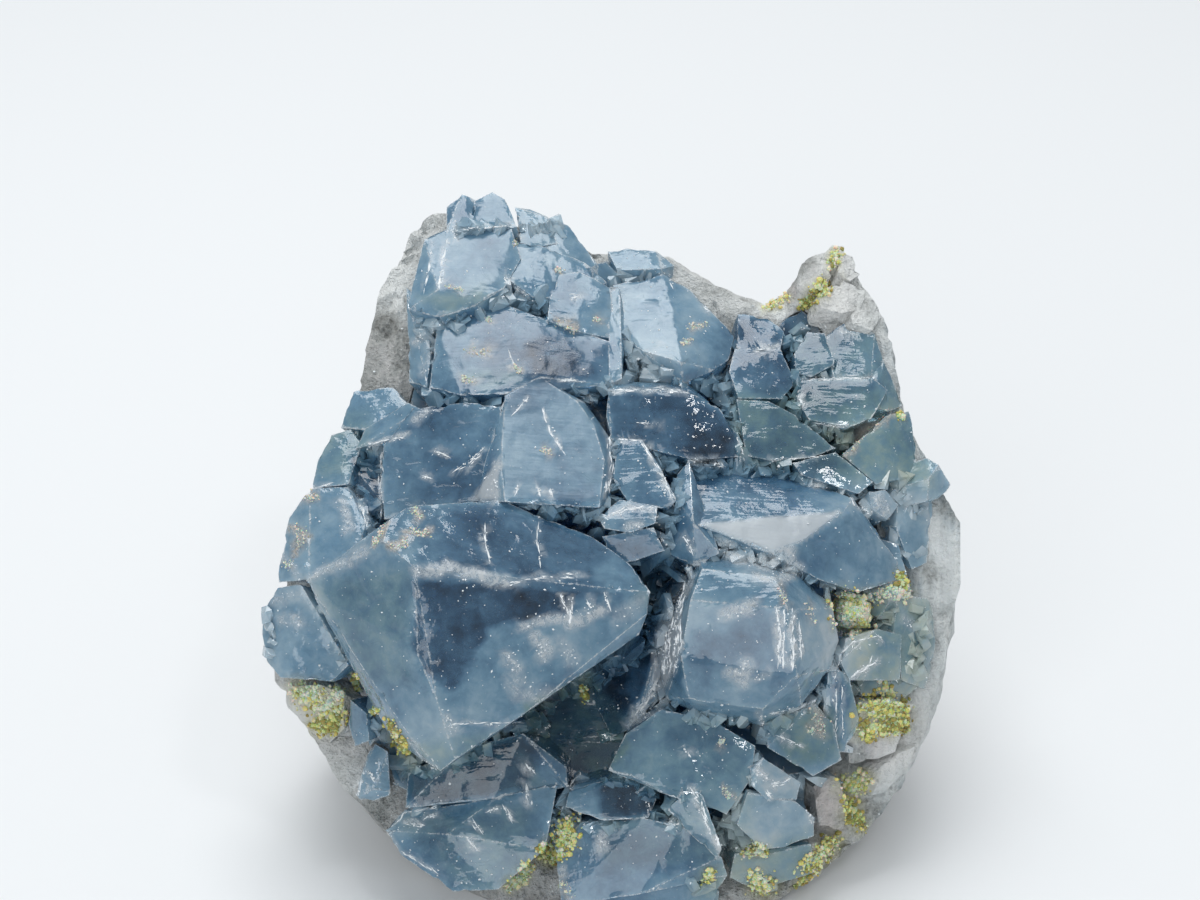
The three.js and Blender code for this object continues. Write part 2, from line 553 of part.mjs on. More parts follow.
function smallCrystal(seed, spot, depth) {
  const { least, most } = SMALL_CRYSTAL_SIZE;
  const size = least + (most - least) * chance(seed, 3);
  const lean = (salt) => (chance(seed, salt) - 0.5) * SMALL_CRYSTAL_TILT;
  const turn = new THREE.Euler(FACE_LEAN + lean(5), lean(6), chance(seed, 7) * 2 * Math.PI);
  const centre = fromFace([...spot, depth]);
  const corners = crystalForm(size);
  return solidOf(new ConvexGeometry(corners.map((corner) => corner.applyEuler(turn).add(centre))));
}

function smallCrystals(large) {
  const solids = [];
  let seed = 0;
  for (let u = DRUSE.left; u <= DRUSE.right; u += SMALL_CRYSTAL_SPACING) {
    for (let v = DRUSE.low; v <= DRUSE.high; v += SMALL_CRYSTAL_SPACING) {
      seed += 1;
      const spot = [
        u + (chance(seed, 1) - 0.5) * SMALL_CRYSTAL_SPACING,
        v + (chance(seed, 2) - 0.5) * SMALL_CRYSTAL_SPACING,
      ];
      const depth = bedDepth(spot);
      if (depth === null || isBare(spot)) continue;
      const solid = smallCrystal(seed, spot, depth);
      if (solid.subtract(large).volume() > CLEAR_SHARE * solid.volume()) solids.push(solid);
    }
  }
  return solids;
}

// What lies under the floor, to cut the flat that the rind rests on
function underFloor() {
  const { width, depth } = FLOOR_SLAB;
  const slab = new THREE.BoxGeometry(width, width, depth);
  slab.translate(0, 0, -depth / 2);
  return solidOf(slab);
}

// Solids of the pieces
const floor = underFloor();
const lumps = Object.values(MATRIX_LUMPS).map((corners) => withRoot(corners, LUMP_ROOT));
const block = joined([
  rimmedBody({ inset: 0, backInset: 0, rise: 0, lumps: RIND_LUMPS }),
  ...lumps.map(convexSolid),
]);
const blockAndGap = joined([
  rimmedBody({ inset: -GAP, backInset: -GAP, rise: GAP, lumps: RIND_LUMPS }),
  ...lumps.map((corners) => convexSolid(grown(corners, CORNER_GAP))),
]);
const bed = rimmedBody({ inset: BED_INSET, backInset: RIND_THICKNESS, rise: BED_RISE, lumps: 0 });
const pocket = rimmedBody({
  inset: BED_INSET - GAP, backInset: RIND_THICKNESS - GAP, rise: BED_RISE + GAP, lumps: 0,
});

const large = joined(
  Object.values(LARGE_CRYSTALS).map((corners) => convexSolid(withRoot(corners, CRYSTAL_ROOT))),
);
const stubAndGap = convexSolid(grown(STUB_CRYSTAL, CORNER_GAP));
const crystals = joined([large, ...smallCrystals(large)]).subtract(blockAndGap).subtract(stubAndGap);
const solids = {
  geode_rind: largestPiece(block.subtract(pocket).subtract(floor)),
  celestite_cluster: largestPiece(crystals.add(bed).subtract(floor)),
  stub_crystal: largestPiece(convexSolid(STUB_CRYSTAL).subtract(blockAndGap)),
};

// The object, with its origin on the floor under the middle of its box
const MATERIALS = {
  rind: new THREE.MeshStandardMaterial({ color: 0x9b958f, roughness: 0.95, metalness: 0 }),
  crystal: new THREE.MeshStandardMaterial({ color: 0x7d99b5, roughness: 0.15, metalness: 0 }),
};

const object = new THREE.Group();
for (const [name, solid] of Object.entries(solids)) {
  const mesh = new THREE.Mesh(geometryOf(solid), name === "geode_rind" ? MATERIALS.rind : MATERIALS.crystal);
  mesh.name = name;
  object.add(mesh);
}
const box = new THREE.Box3().setFromObject(object);
const middle = box.getCenter(new THREE.Vector3());
for (const mesh of object.children) {
  mesh.geometry.translate(-middle.x, -middle.y, -box.min.z);
}

export default object;
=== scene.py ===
"""Looks of the celestite crystal cluster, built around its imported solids. Blender 4.5, metres."""

import itertools
import math

import bmesh
import bpy
import numpy as np
from mathutils import Matrix, Vector
from mathutils.bvhtree import BVHTree
from mathutils.kdtree import KDTree


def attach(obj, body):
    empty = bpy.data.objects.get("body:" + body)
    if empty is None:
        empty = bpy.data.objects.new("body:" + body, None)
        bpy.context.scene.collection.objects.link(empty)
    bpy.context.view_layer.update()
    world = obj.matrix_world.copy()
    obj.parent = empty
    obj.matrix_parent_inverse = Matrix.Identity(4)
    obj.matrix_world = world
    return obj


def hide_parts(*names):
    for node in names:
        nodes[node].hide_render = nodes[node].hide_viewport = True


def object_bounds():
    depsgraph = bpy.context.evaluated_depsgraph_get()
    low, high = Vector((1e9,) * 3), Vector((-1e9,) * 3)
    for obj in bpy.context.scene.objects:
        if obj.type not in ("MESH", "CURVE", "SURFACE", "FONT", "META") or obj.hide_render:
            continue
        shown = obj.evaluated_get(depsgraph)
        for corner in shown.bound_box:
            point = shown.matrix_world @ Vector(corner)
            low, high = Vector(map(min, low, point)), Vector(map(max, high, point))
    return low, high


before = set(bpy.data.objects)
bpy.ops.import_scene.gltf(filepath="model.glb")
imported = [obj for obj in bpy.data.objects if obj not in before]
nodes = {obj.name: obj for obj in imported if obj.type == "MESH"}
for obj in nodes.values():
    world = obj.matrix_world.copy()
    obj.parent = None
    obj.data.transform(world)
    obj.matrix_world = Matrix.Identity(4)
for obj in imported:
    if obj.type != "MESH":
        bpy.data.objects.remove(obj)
cad_low, cad_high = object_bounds()

# All sizes and places are in millimetres, where nothing else is said
MM = 0.001

# How long the triangles' edges may be
EDGE_LENGTH = 0.65              # along a long sharp edge
SMALL_EDGE = 3.0                # a sharp edge up to this long counts as a small crystal's
SMALL_EDGE_LENGTH = 1.1         # along a small crystal's edge
FACET_LENGTH = 1.4              # within a facet
LENGTH_GROWTH = 0.5             # what each millimetre away from a sharp edge adds
MARK_LENGTH = 0.6               # at a mark
HIDDEN_LENGTH = 6.0             # inside the rind
RIND_LENGTH = 0.9
DRUSE_LENGTH = 1.2
REFINE_ROUNDS = 8
WELD_DISTANCE = 1e-7            # metres
FLAT_ANGLE = math.radians(1)    # up to this angle, neighbouring triangles are one facet

# Relief of the crystals and of the rind
SHARP_ANGLE = math.radians(18)  # from this angle on, two facets meet in a sharp edge
EDGE_SAMPLE = 0.25              # between the points that stand for a sharp edge
CHIP_REACH = 0.6                # how far a chipped edge reaches into a facet
CHIP_DEPTH = 0.4
EDGE_WEAR = 0.05
FACET_RELIEF = 0.05
DRUSE_RELIEF = 0.04
RIND_SWELLS = 0.4
RIND_KNOBS = 0.3
RIND_PITS = 1.3
CRUST_RELIEF = 0.6
FOOT_HEIGHT = 0.5               # up to here the rind keeps its flat foot
BURIED_DEPTH = 1.5              # behind the dish, from where on nothing of a crystal shows
CRYSTAL_SMOOTHING = math.radians(24)
RIND_SMOOTHING = math.radians(40)

# The dish of the rind, in face coordinates: its depth at v = 0, how it changes with v, and where the
# bluish rim begins behind it
DISH_LEVEL = -12.0
DISH_SLOPE = -0.2
RIM_LEVEL = -24.0
RIM_FADE = 9.0
BLUISH_FROM = 24.0              # the u from which the rim is bluish

# Small crystals in the grooves
DRUSE_LOW = (-34.0, -45.0)      # the part of the face that is searched for grooves
DRUSE_HIGH = (34.0, 24.0)
GROOVE_STEP = 0.55              # between the places that are looked at
GROOVE_REACH = 1.5              # half the width of the widest groove
GROOVE_DEPTH = 0.4              # a shallower place is no groove
GROOVE_LIMIT = 6.0              # a deeper place is a hollow
DRUSE_SHARE = 0.6               # of the places in grooves that bear a small crystal
DRUSE_ROOT = 1.5                # of a small crystal, below the groove's floor
DRUSE_WIDTHS = (0.45, 1.05)     # half the width of a small crystal
DRUSE_TILT = 0.3
DRUSE_UNEVENNESS = 0.14
DRUSE_PAINTED_LIGHT = 0.8            # paler than the large crystals: painted light against the shade in the grooves
NOTHING = -99.0                 # the height where no surface is

# Grains, crumbs and splinters
CRUST_DENSITY = 1.3             # by which all counts of crust are raised
CRUST_GRAIN = 0.34              # half the width of the largest grain of crust
STAIN_GRAIN = 0.16              # and of a stain
STAIN_COUNT = 40                # grains in the strongest stain
STAIN_YELLOW = -0.2             # paler than any crust
SPECK_LOW = (-34, -46)          # the part of the face that the crumbs lie on
SPECK_HIGH = (34, 25)
SPECK_COUNT = 1500
MARK_SPECKS = 14                # crumbs at the strongest white mark
SLIVER_WIDTH = 0.45             # only white marks up to this width have splinters
SLIVERS_PER_MM = 4.0
SLIVER_WIDTHS = (0.03, 0.06)    # half the width of a splinter
GRAIN_UNEVENNESS = 0.22
SPREAD_OF_CRUST = 0.55          # of its grains, as a share of its width
GOLDEN_RATIO = 1.618

# The chart that marks are drawn on
CHART_LOW = np.array([-40.0, -50.0])
CHART_CELLS = np.array([800, 800])
CHART_STEP = 0.1
STROKE_REACH = 1.3              # of a stroke, in its own widths
WAVE_SIZE = 1.6                 # of the waves in the outlines
TONE_BLEND = 1.2                # between crystals of different tone
CLOUDINESS = 0.45               # how much the tone changes within a crystal

# Optics of the crystals
REFRACTION = 1.62
CLEARNESS = 0.5                 # the share that lets light through; the rest is milky
ABSORPTION = 60.0               # per metre
ABSORPTION_COLOUR = (0.35, 0.62, 0.85, 1)

# The photograph's view. Face coordinates (u, v, w) are the ones the solids are made in: u to the
# right, v up the druse and w out of it, as seen from the reading distance.
FACE_TURN = Matrix.Rotation(math.radians(60), 3, "X")
FACE_OUT = FACE_TURN @ Vector((0, 0, 1))
FACE_ORIGIN = Vector((-1.516, -2.878, 43.3))
READING_DISTANCE = 328.0
CAMERA_ELEVATION = math.radians(30)
CAMERA_LENS = 94.5
CAMERA_SENSOR = 36.0
CAMERA_CLIP = 0.01              # metres

# The studio, in metres and watts. Each light has a name, a place, a size and a power.
LIGHTS = [
    ("softbox", (-0.05, 0.17, 0.6), 0.42, 2.3),
    ("fill", (-0.15, -0.6, 0.35), 0.5, 1.55),
    ("spark", (0.2, -0.25, 0.55), 0.07, 0.22),
]
LIT_PLACE = Vector((0, 0, 0.03))
SKY_COLOUR = (0.93, 0.97, 1.0, 1)
SKY_STRENGTH = 0.46
FLOOR_SIZE = 6
FLOOR_COLOUR = (0.815, 0.835, 0.85, 1)
FLOOR_ROUGHNESS = 0.9

chance = np.random.default_rng(11)


# Places

def from_face(u, v, w):
    """A place on the druse, in metres in the frame."""
    nearness = 1 - w / READING_DISTANCE
    return (FACE_TURN @ Vector((u * nearness, v * nearness, w)) + FACE_ORIGIN) * MM


def to_face(points):
    """Face coordinates of an array of places in metres in the frame."""
    turned = (points / MM - np.array(FACE_ORIGIN)) @ np.array(FACE_TURN)
    nearness = 1 - turned[:, 2:3] / READING_DISTANCE
    return np.hstack([turned[:, :2] / nearness, turned[:, 2:3]])


def behind_dish(places, depth):
    """Whether each place in face coordinates is further than depth behind the dish of the rind."""
    return places[:, 2] < DISH_LEVEL + DISH_SLOPE * places[:, 1] - depth


def clamped(points):
    """Points kept within the solids' box."""
    return np.clip(points, np.array(cad_low) / MM, np.array(cad_high) / MM)


# Repeatable noise over arrays of places

def lattice(cells, seed):
    """A value from -1 to 1 for each whole-numbered cell."""
    mixed = np.sin(cells @ np.array([127.1, 311.7, 74.7]) + 19.19 * seed) * 43758.5453
    return 2 * (mixed - np.floor(mixed)) - 1


def blended(base, share, value_at):
    """Values at the corners of cells, blended by each place's share of its cell."""
    total = np.zeros(len(base))
    for corner in itertools.product((0, 1), repeat=base.shape[1]):
        weight = np.prod(np.where(corner, share, 1 - share), axis=1)
        total += weight * value_at(base + corner)
    return total


def value_noise(places, seed):
    """Noise from -1 to 1 whose lumps are one unit apart."""
    base = np.floor(places)
    share = places - base
    return blended(base, share * share * (3 - 2 * share), lambda cells: lattice(cells, seed))


def fractal(places, size, octaves, seed):
    """Noise whose largest lumps are size apart, with finer lumps on them."""
    total = np.zeros(len(places))
    for octave in range(octaves):
        total += value_noise(places / size * 2**octave, seed + octave) * 0.5**octave
    return total


# Shells: arrays of points and of triangles

def arrays_of(mesh):
    """The points and faces of a bmesh, which is freed."""
    mesh.verts.index_update()
    points = np.array([vert.co for vert in mesh.verts])
    faces = np.array([[vert.index for vert in face.verts] for face in mesh.faces])
    mesh.free()
    return points, faces


def tidy_arrays(node):
    """Points and triangles of a node, with flat facets triangulated afresh."""
    mesh = bmesh.new()
    mesh.from_mesh(node.data)
    bmesh.ops.remove_doubles(mesh, verts=mesh.verts, dist=WELD_DISTANCE)
    bmesh.ops.dissolve_limit(mesh, angle_limit=FLAT_ANGLE, verts=mesh.verts, edges=mesh.edges)
    bmesh.ops.triangulate(mesh, faces=mesh.faces, quad_method="BEAUTY", ngon_method="BEAUTY")
    points, faces = arrays_of(mesh)
    return points / MM, faces


def hull_faces(corners):
    """Outward triangles over the corners of a convex body."""
    mesh = bmesh.new()
    for corner in corners:
        mesh.verts.new(corner)
    bmesh.ops.convex_hull(mesh, input=mesh.verts)
    bmesh.ops.triangulate(mesh, faces=mesh.faces)
    return arrays_of(mesh)[1]


def joined(shells):
    """Several shells as one."""
    faces = []
    first = 0
    for shell_points, shell_faces in shells:
        faces.append(shell_faces + first)
        first += len(shell_points)
    return np.vstack([shell[0] for shell in shells]), np.vstack(faces)


def edges_of(faces):
    """The edges, and for each triangle the numbers of its three edges."""
    count = int(faces.max()) + 1
    ends = np.sort(np.stack([faces, np.roll(faces, -1, axis=1)], axis=2), axis=2)
    codes, back = np.unique(ends[..., 0] * count + ends[..., 1], return_inverse=True)
    return np.column_stack([codes // count, codes % count]), back.reshape(-1, 3)


def split_faces(faces, split):
    """Triangles split at the middles of their edges. split holds the new point on each, or -1."""
    count = (split >= 0).sum(axis=1)
    made = [faces[count == 0]]
    for turn in range(3):
        a, b, c = np.roll(faces, -turn, axis=1).T
        ab, bc, ca = np.roll(split, -turn, axis=1).T
        one = (count == 1) & (ab >= 0)
        two = (count == 2) & (ca < 0)
        three = count == 3
        made += [np.column_stack(part)[one] for part in ((a, ab, c), (ab, b, c))]
        made += [np.column_stack(part)[two] for part in ((ab, b, bc), (a, ab, bc), (a, bc, c))]
        made.append(np.column_stack((a, ab, ca))[three])
        if turn == 0:
            made.append(np.column_stack((ab, bc, ca))[three])
    return np.vstack(made)


def refined(points, faces, longest):
    """Splits edges at their middles until hardly any is longer than longest(middles) allows."""
    for _ in range(REFINE_ROUNDS):
        edges, back = edges_of(faces)
        ends = points[edges]
        middles = ends.mean(axis=1)
        lengths = np.linalg.norm(ends[:, 0] - ends[:, 1], axis=1)
        long = lengths > EDGE_LENGTH / 2
        long[long] = lengths[long] > longest(middles[long])
        if not long.any():
            break
        number = np.full(len(edges), -1)
        number[long] = len(points) + np.arange(long.sum())
        points = np.vstack([points, middles[long]])
        faces = split_faces(faces, number[back])
    return points, faces


def face_normals(points, faces):
    """Each triangle's normal and area."""
    a, b, c = (points[faces[:, corner]] for corner in range(3))
    normals = np.cross(b - a, c - a)
    length = np.linalg.norm(normals, axis=1, keepdims=True)
    return normals / np.maximum(length, 1e-12), length[:, 0] / 2


def point_normals(points, faces):
    """Each point's normal: the average of its triangles', weighted by their area."""
    normals, areas = face_normals(points, faces)
    total = np.zeros_like(points)
    for corner in range(3):
        np.add.at(total, faces[:, corner], normals * areas[:, None])
    return total / np.maximum(np.linalg.norm(total, axis=1, keepdims=True), 1e-12)


def raised(points, faces, height):
    """Points moved out along their normals, each by its own height."""
    return points + point_normals(points, faces) * height[:, None]


def sharp_edge_tree(points, faces):
    """A search tree of points along the sharp convex edges, and each point's edge's length."""
    edges, back = edges_of(faces)
    normals, _ = face_normals(points, faces)
    first = np.full(len(edges), -1)
    second = np.full(len(edges), -1)
    for corner in range(3):
        for face, edge in enumerate(back[:, corner]):
            if first[edge] < 0:
                first[edge] = face
            else:
                second[edge] = face
    middle = points[faces].mean(axis=1)
    turn = np.einsum("ij,ij->i", normals[first], normals[second])
    apart = middle[second] - middle[first]
    convex = np.einsum("ij,ij->i", normals[first], apart) < 0
    shown = ~behind_dish(to_face(points[edges].mean(axis=1) * MM), BURIED_DEPTH)
    spots = []
    sizes = []
    for start, end in points[edges[shown & convex & (turn < math.cos(SHARP_ANGLE))]]:
        length = np.linalg.norm(end - start)
        steps = max(2, math.ceil(length / EDGE_SAMPLE))
        spots.extend(start + (end - start) * step / steps for step in range(steps + 1))
        sizes.extend([length] * (steps + 1))
    tree = KDTree(len(spots))
    for number, spot in enumerate(spots):
        tree.insert(spot, number)
    tree.balance()
    return tree, np.array(sizes)


def distances(tree, places, sizes):
    """How far each place is from the nearest sharp edge, and how long that edge is."""
    found = [tree.find(place) for place in places]
    return np.array([hit[2] for hit in found]), sizes[[hit[1] for hit in found]]


def surface_tree(*shells):
    """A search tree of all the shells' triangles."""
    points, faces = joined(shells)
    return BVHTree.FromPolygons(points.tolist(), faces.tolist())


def seen_at(tree, u, v):
    """The point of the surface seen at (u, v) from the reading place, and its normal."""
    target = from_face(u, v, 0) / MM
    eye = FACE_ORIGIN + FACE_OUT * READING_DISTANCE
    spot, normal, _, _ = tree.ray_cast(eye, (target - eye).normalized())
    return spot, normal


# Marks on the face

def along(places, course):
    """How far each place (u, v) is from a course of points."""
    nearest = np.full(len(places), np.inf)
    for start, end in zip(course, course[1:] or course):
        start = np.array(start, float)
        step = np.array(end, float) - start
        share = np.clip((places - start) @ step / max(step @ step, 1e-9), 0, 1)
        nearest = np.minimum(nearest, np.linalg.norm(places - start - share[:, None] * step, axis=1))
    return nearest


def within(places, outline, border):
    """1 inside an outline and 0 outside it, changing over a soft border."""
    inside = np.zeros(len(places), bool)
    u, v = places.T
    for (u0, v0), (u1, v1) in zip(outline, outline[1:] + outline[:1]):
        if v0 != v1:
            inside ^= ((v0 > v) != (v1 > v)) & (u < u0 + (v - v0) * (u1 - u0) / (v1 - v0))
    away = along(places, outline + outline[:1])
    return np.clip(0.5 + np.where(inside, away, -away) / border, 0, 1)


class Chart:
    """A chart of the druse's face in small cells, on which marks are drawn once and then looked up."""

    def __init__(self):
        self.cells = np.zeros(CHART_CELLS)

    def window(self, course, margin):
        """The cells within the margin of a course, and their places."""
        corners = np.array(course, float)
        low = np.floor((corners.min(axis=0) - margin - CHART_LOW) / CHART_STEP).astype(int)
        high = np.ceil((corners.max(axis=0) + margin - CHART_LOW) / CHART_STEP).astype(int) + 1
        low, high = np.clip(low, 0, CHART_CELLS), np.clip(high, 0, CHART_CELLS)
        u, v = np.meshgrid(*(np.arange(*ends) for ends in zip(low, high)), indexing="ij")
        places = np.column_stack([u.ravel(), v.ravel()]) * CHART_STEP + CHART_LOW
        return (slice(low[0], high[0]), slice(low[1], high[1])), u.shape, places

    def draw_strokes(self, marks, spread=1.0):
        """Strokes with soft borders; the strongest one counts where they cross."""
        for strength, width, course in marks:
            cells, shape, places = self.window(course, STROKE_REACH * width * spread)
            drawn = strength * np.clip(STROKE_REACH - along(places, course) / (width * spread), 0, 1)
            self.cells[cells] = np.maximum(self.cells[cells], drawn.reshape(shape))
        return self

    def add_outlines(self, outlines):
        """Filled outlines with soft borders; they add up where they overlap."""
        for strength, border, outline in outlines:
            cells, shape, places = self.window(outline, border)
            self.cells[cells] += strength * within(places, outline, border).reshape(shape)
        return self

    def at(self, places, waviness=0.0):
        """What is drawn at each place, shifted a little for wavy outlines."""
        if waviness:
            flat = np.column_stack([places, np.zeros(len(places))])
            shift = [fractal(flat, WAVE_SIZE, 3, seed) for seed in (61, 67)]
            places = places + waviness * np.column_stack(shift)
        spots = np.clip((places - CHART_LOW) / CHART_STEP, 0, CHART_CELLS - 1.001)
        base = spots.astype(int)
        return blended(base, spots - base, lambda cells: self.cells[tuple(cells.T)])


# Materials

class Shader:
    """A material's node tree, with short ways to add nodes to it."""

    def __init__(self, name):
        self.material = bpy.data.materials.new(name)
        self.material.use_nodes = True
        self.tree = self.material.node_tree
        self.surface = self.tree.nodes["Principled BSDF"]
        self.output = self.tree.nodes["Material Output"]

    def node(self, kind, settings=None, **inputs):
        """A new node with its settings, and with values or links for its inputs."""
        node = self.tree.nodes.new("ShaderNode" + kind)
        for name, value in (settings or {}).items():
            setattr(node, name, value)
        for name, value in inputs.items():
            self.put(node.inputs[name.replace("_", " ")], value)
        return node

    def put(self, socket, value):
        if isinstance(value, bpy.types.NodeSocket):
            self.tree.links.new(value, socket)
        else:
            socket.default_value = value

    def set(self, name, value):
        self.put(self.surface.inputs[name], value)

    def attribute(self, name):
        return self.node("Attribute", {"attribute_name": name}).outputs["Fac"]

    def places(self):
        """Places on the piece in millimetres."""
        coordinates = self.node("TexCoord").outputs["Object"]
        scaled = self.node("VectorMath", {"operation": "SCALE"}, Scale=1 / MM)
        self.put(scaled.inputs[0], coordinates)
        return scaled.outputs[0]

    def noise(self, size, detail=4.0, roughness=0.55, **more):
        """Noise whose lumps are about size wide, from 0 to 1."""
        return self.node("TexNoise", Vector=self.places(), Scale=1 / size, Detail=detail,
                         Roughness=roughness, **more).outputs["Fac"]

    def stretched_noise(self, scale, turn, size, detail):
        """Noise drawn out into streaks or layers."""
        streaks = self.node("Mapping", Vector=self.places(), Scale=scale, Rotation=turn)
        return self.node("TexNoise", Vector=streaks.outputs[0], Scale=1 / size,
                         Detail=detail).outputs["Fac"]

    def ramp(self, value, stops, interpolation="LINEAR"):
        node = self.node("ValToRGB", Fac=value)
        node.color_ramp.interpolation = interpolation
        while len(node.color_ramp.elements) < len(stops):
            node.color_ramp.elements.new(0.5)
        for element, (place, colour) in zip(node.color_ramp.elements, stops):
            element.position = place
            element.color = (*colour, 1)
        return node.outputs["Color"]

    def mix(self, share, first, second, blend="MIX"):
        node = self.node("Mix", {"data_type": "RGBA", "blend_type": blend})
        self.put(node.inputs["Factor"], share)
        for socket, value in ((node.inputs[6], first), (node.inputs[7], second)):
            self.put(socket, value if isinstance(value, bpy.types.NodeSocket) else (*value, 1))
        return node.outputs[2]

    def math(self, operation, first, second, clamp=False):
        node = self.node("Math", {"operation": operation, "use_clamp": clamp})
        self.put(node.inputs[0], first)
        self.put(node.inputs[1], second)
        return node.outputs[0]

    def times(self, first, second, clamp=False):
        return self.math("MULTIPLY", first, second, clamp)

    def plus(self, first, second):
        return self.math("ADD", first, second)

    def larger(self, first, second):
        return self.math("MAXIMUM", first, second)

    def spread(self, value, low, high):
        """A value stretched so that low becomes 0 and high becomes 1."""
        node = self.node("MapRange", Value=value)
        node.inputs["From Min"].default_value = low
        node.inputs["From Max"].default_value = high
        return node.outputs["Result"]

    def bump(self, height, distance, below=None):
        """A normal for a height, on top of the normal below."""
        node = self.node("Bump", Height=height, Distance=distance * MM)
        if below is not None:
            self.put(node.inputs["Normal"], below)
        return node.outputs["Normal"]


def crystal_body(shader, mottle, grain):
    """The crystal's colour: pale to deep blue from the tone, with painted shade in the hollows and crevices
    and painted light on the small druse, greyer in places, with fine bright specks.
    """
    depth = shader.plus(shader.times(shader.spread(mottle, 0.3, 0.7), 0.6), shader.attribute("tone"))
    depth = shader.plus(depth, shader.times(shader.attribute("edge"), 0.25))
    body = shader.ramp(shader.spread(depth, -1.2, 1.6), [
        (0.0, (0.008, 0.025, 0.051)),
        (0.2, (0.040, 0.116, 0.215)),
        (0.4, (0.108, 0.246, 0.394)),
        (0.6, (0.216, 0.411, 0.573)),
        (0.8, (0.393, 0.595, 0.737)),
        (1.0, (0.633, 0.783, 0.871)),
    ])
    warm = shader.times(shader.attribute("warm"), shader.spread(mottle, 0.15, 0.6))
    body = shader.mix(warm, body, shader.mix(1.0, body, (1.0, 0.90, 0.66), "MULTIPLY"))
    specks = shader.times(shader.spread(grain, 0.66, 0.72), 0.45)
    return shader.mix(specks, body, (0.72, 0.80, 0.85))


def crystal_covers(shader, grain):
    """How far each place is frosted and painted with highlights, stained and crusted."""
    fibres = shader.spread(shader.noise(0.7, 4, 0.8, Distortion=0.8), 0.36, 0.66)
    frost_and_painted_highlight = shader.times(shader.attribute("white"), shader.plus(fibres, 0.3), clamp=True)
    rim = shader.spread(shader.plus(shader.attribute("edge"), grain), 1.25, 1.5)
    frost_and_painted_highlight = shader.larger(frost_and_painted_highlight, shader.times(rim, 0.8))
    # Painted highlights where facets gleam, joined with the frost
    frost_and_painted_highlight = shader.larger(frost_and_painted_highlight, shader.times(shader.attribute("painted_highlight"), 0.85))
    stain = shader.times(shader.attribute("stain"), shader.plus(fibres, 0.35), clamp=True)
    return frost_and_painted_highlight, stain, shader.attribute("olive")


def crystal_relief(shader):
    """Swells and growth steps, striations and a slight grain, as one normal."""
    swell = shader.noise(2.8, 1, 0.5, Distortion=0.5)
    levels = ((0.0, 0.0), (0.42, 0.3), (0.5, 0.55), (0.58, 0.8), (0.66, 1.0))
    steps = shader.ramp(swell, [(place, (level,) * 3) for place, level in levels], "CONSTANT")
    striae = shader.stretched_noise((0.25, 2.6, 0.25), (0.5, 0.3, 0.9), 1 / 1.2, 1.0)
    normal = shader.bump(swell, 0.25)
    for height, distance in ((steps, 0.035), (striae, 0.03), (shader.noise(0.4, 1), 0.02)):
        normal = shader.bump(height, distance, normal)
    return normal


def crystal_material():
    """Glassy, pale blue and partly milky, with growth steps, striations, white chipped edges and painted
    highlights.
    """
    shader = Shader("celestite")
    mottle = shader.noise(1.5, 4, 0.62, Distortion=0.3)
    grain = shader.noise(0.4, 3, 0.7)
    frost_and_painted_highlight, stain, olive = crystal_covers(shader, grain)
    dirt = shader.ramp(grain, [
        (0.30, (0.25, 0.19, 0.13)), (0.42, (0.58, 0.52, 0.44)), (0.6, (0.80, 0.76, 0.70))])
    colour = crystal_body(shader, mottle, grain)
    # Frost and painted highlights are mixed in as white
    for share, cover in ((frost_and_painted_highlight, (0.86, 0.93, 0.97)), (stain, dirt),
                         (shader.times(olive, 0.4), (0.42, 0.41, 0.26))):
        colour = shader.mix(share, colour, cover)
    shader.set("Base Color", colour)
    rough = shader.plus(shader.times(shader.spread(mottle, 0.5, 0.85), 0.14), 0.03)
    for cover in (frost_and_painted_highlight, stain, olive):
        rough = shader.larger(rough, shader.times(cover, 0.5))
    shader.set("Roughness", shader.larger(rough, shader.times(shader.attribute("matt"), 0.42)))
    shader.set("IOR", REFRACTION)
    shader.set("Transmission Weight", CLEARNESS)
    shader.set("Normal", crystal_relief(shader))
    absorption = shader.node("VolumeAbsorption", Color=ABSORPTION_COLOUR, Density=ABSORPTION)
    shader.put(shader.output.inputs["Volume"], absorption.outputs["Volume"])
    return shader.material


def rind_material():
    """Rough grey to beige stone, bluish and layered towards the right rim."""
    shader = Shader("rind_stone")
    broad = shader.noise(4.0, 5, 0.65)
    grain = shader.noise(0.5, 4, 0.75)
    colour = shader.ramp(broad, [
        (0.30, (0.19, 0.19, 0.175)),
        (0.44, (0.33, 0.335, 0.32)),
        (0.55, (0.45, 0.435, 0.415)),
        (0.68, (0.60, 0.61, 0.60)),
    ])
    layers = shader.ramp(shader.stretched_noise((1.6, 0.2, 0.2), (0, 0, 0), 1.0, 3.0), [
        (0.35, (0.22, 0.30, 0.35)), (0.5, (0.42, 0.52, 0.58)), (0.62, (0.68, 0.75, 0.78))])
    pale = shader.times(shader.attribute("pale"), shader.spread(broad, 0.2, 0.5))
    for share, cover in (
        (shader.times(shader.attribute("bluish"), shader.spread(broad, 0.25, 0.55)), layers),
        (shader.times(shader.spread(grain, 0.45, 0.7), 0.55), (0.66, 0.66, 0.64)),
        (shader.times(shader.attribute("earth"), 0.6), (0.40, 0.33, 0.25)),
        (shader.times(shader.spread(grain, 0.42, 0.30), 0.65), (0.09, 0.085, 0.07)),
        (shader.times(shader.attribute("pink"), shader.spread(broad, 0.3, 0.6)), (0.68, 0.60, 0.58)),
        (shader.times(pale, 0.85), (0.87, 0.90, 0.89)),
        (shader.times(shader.attribute("white"), 0.7), (0.80, 0.84, 0.86)),
        (shader.times(shader.attribute("olive"), 0.6), (0.50, 0.49, 0.27)),
        (shader.times(shader.attribute("stain"), 0.8), (0.66, 0.60, 0.52)),
    ):
        colour = shader.mix(share, colour, cover)
    shader.set("Base Color", colour)
    shader.set("Roughness", shader.plus(shader.times(grain, 0.5), 0.3))
    shader.set("Normal", shader.bump(grain, 0.45, shader.bump(broad, 0.8)))
    return shader.material


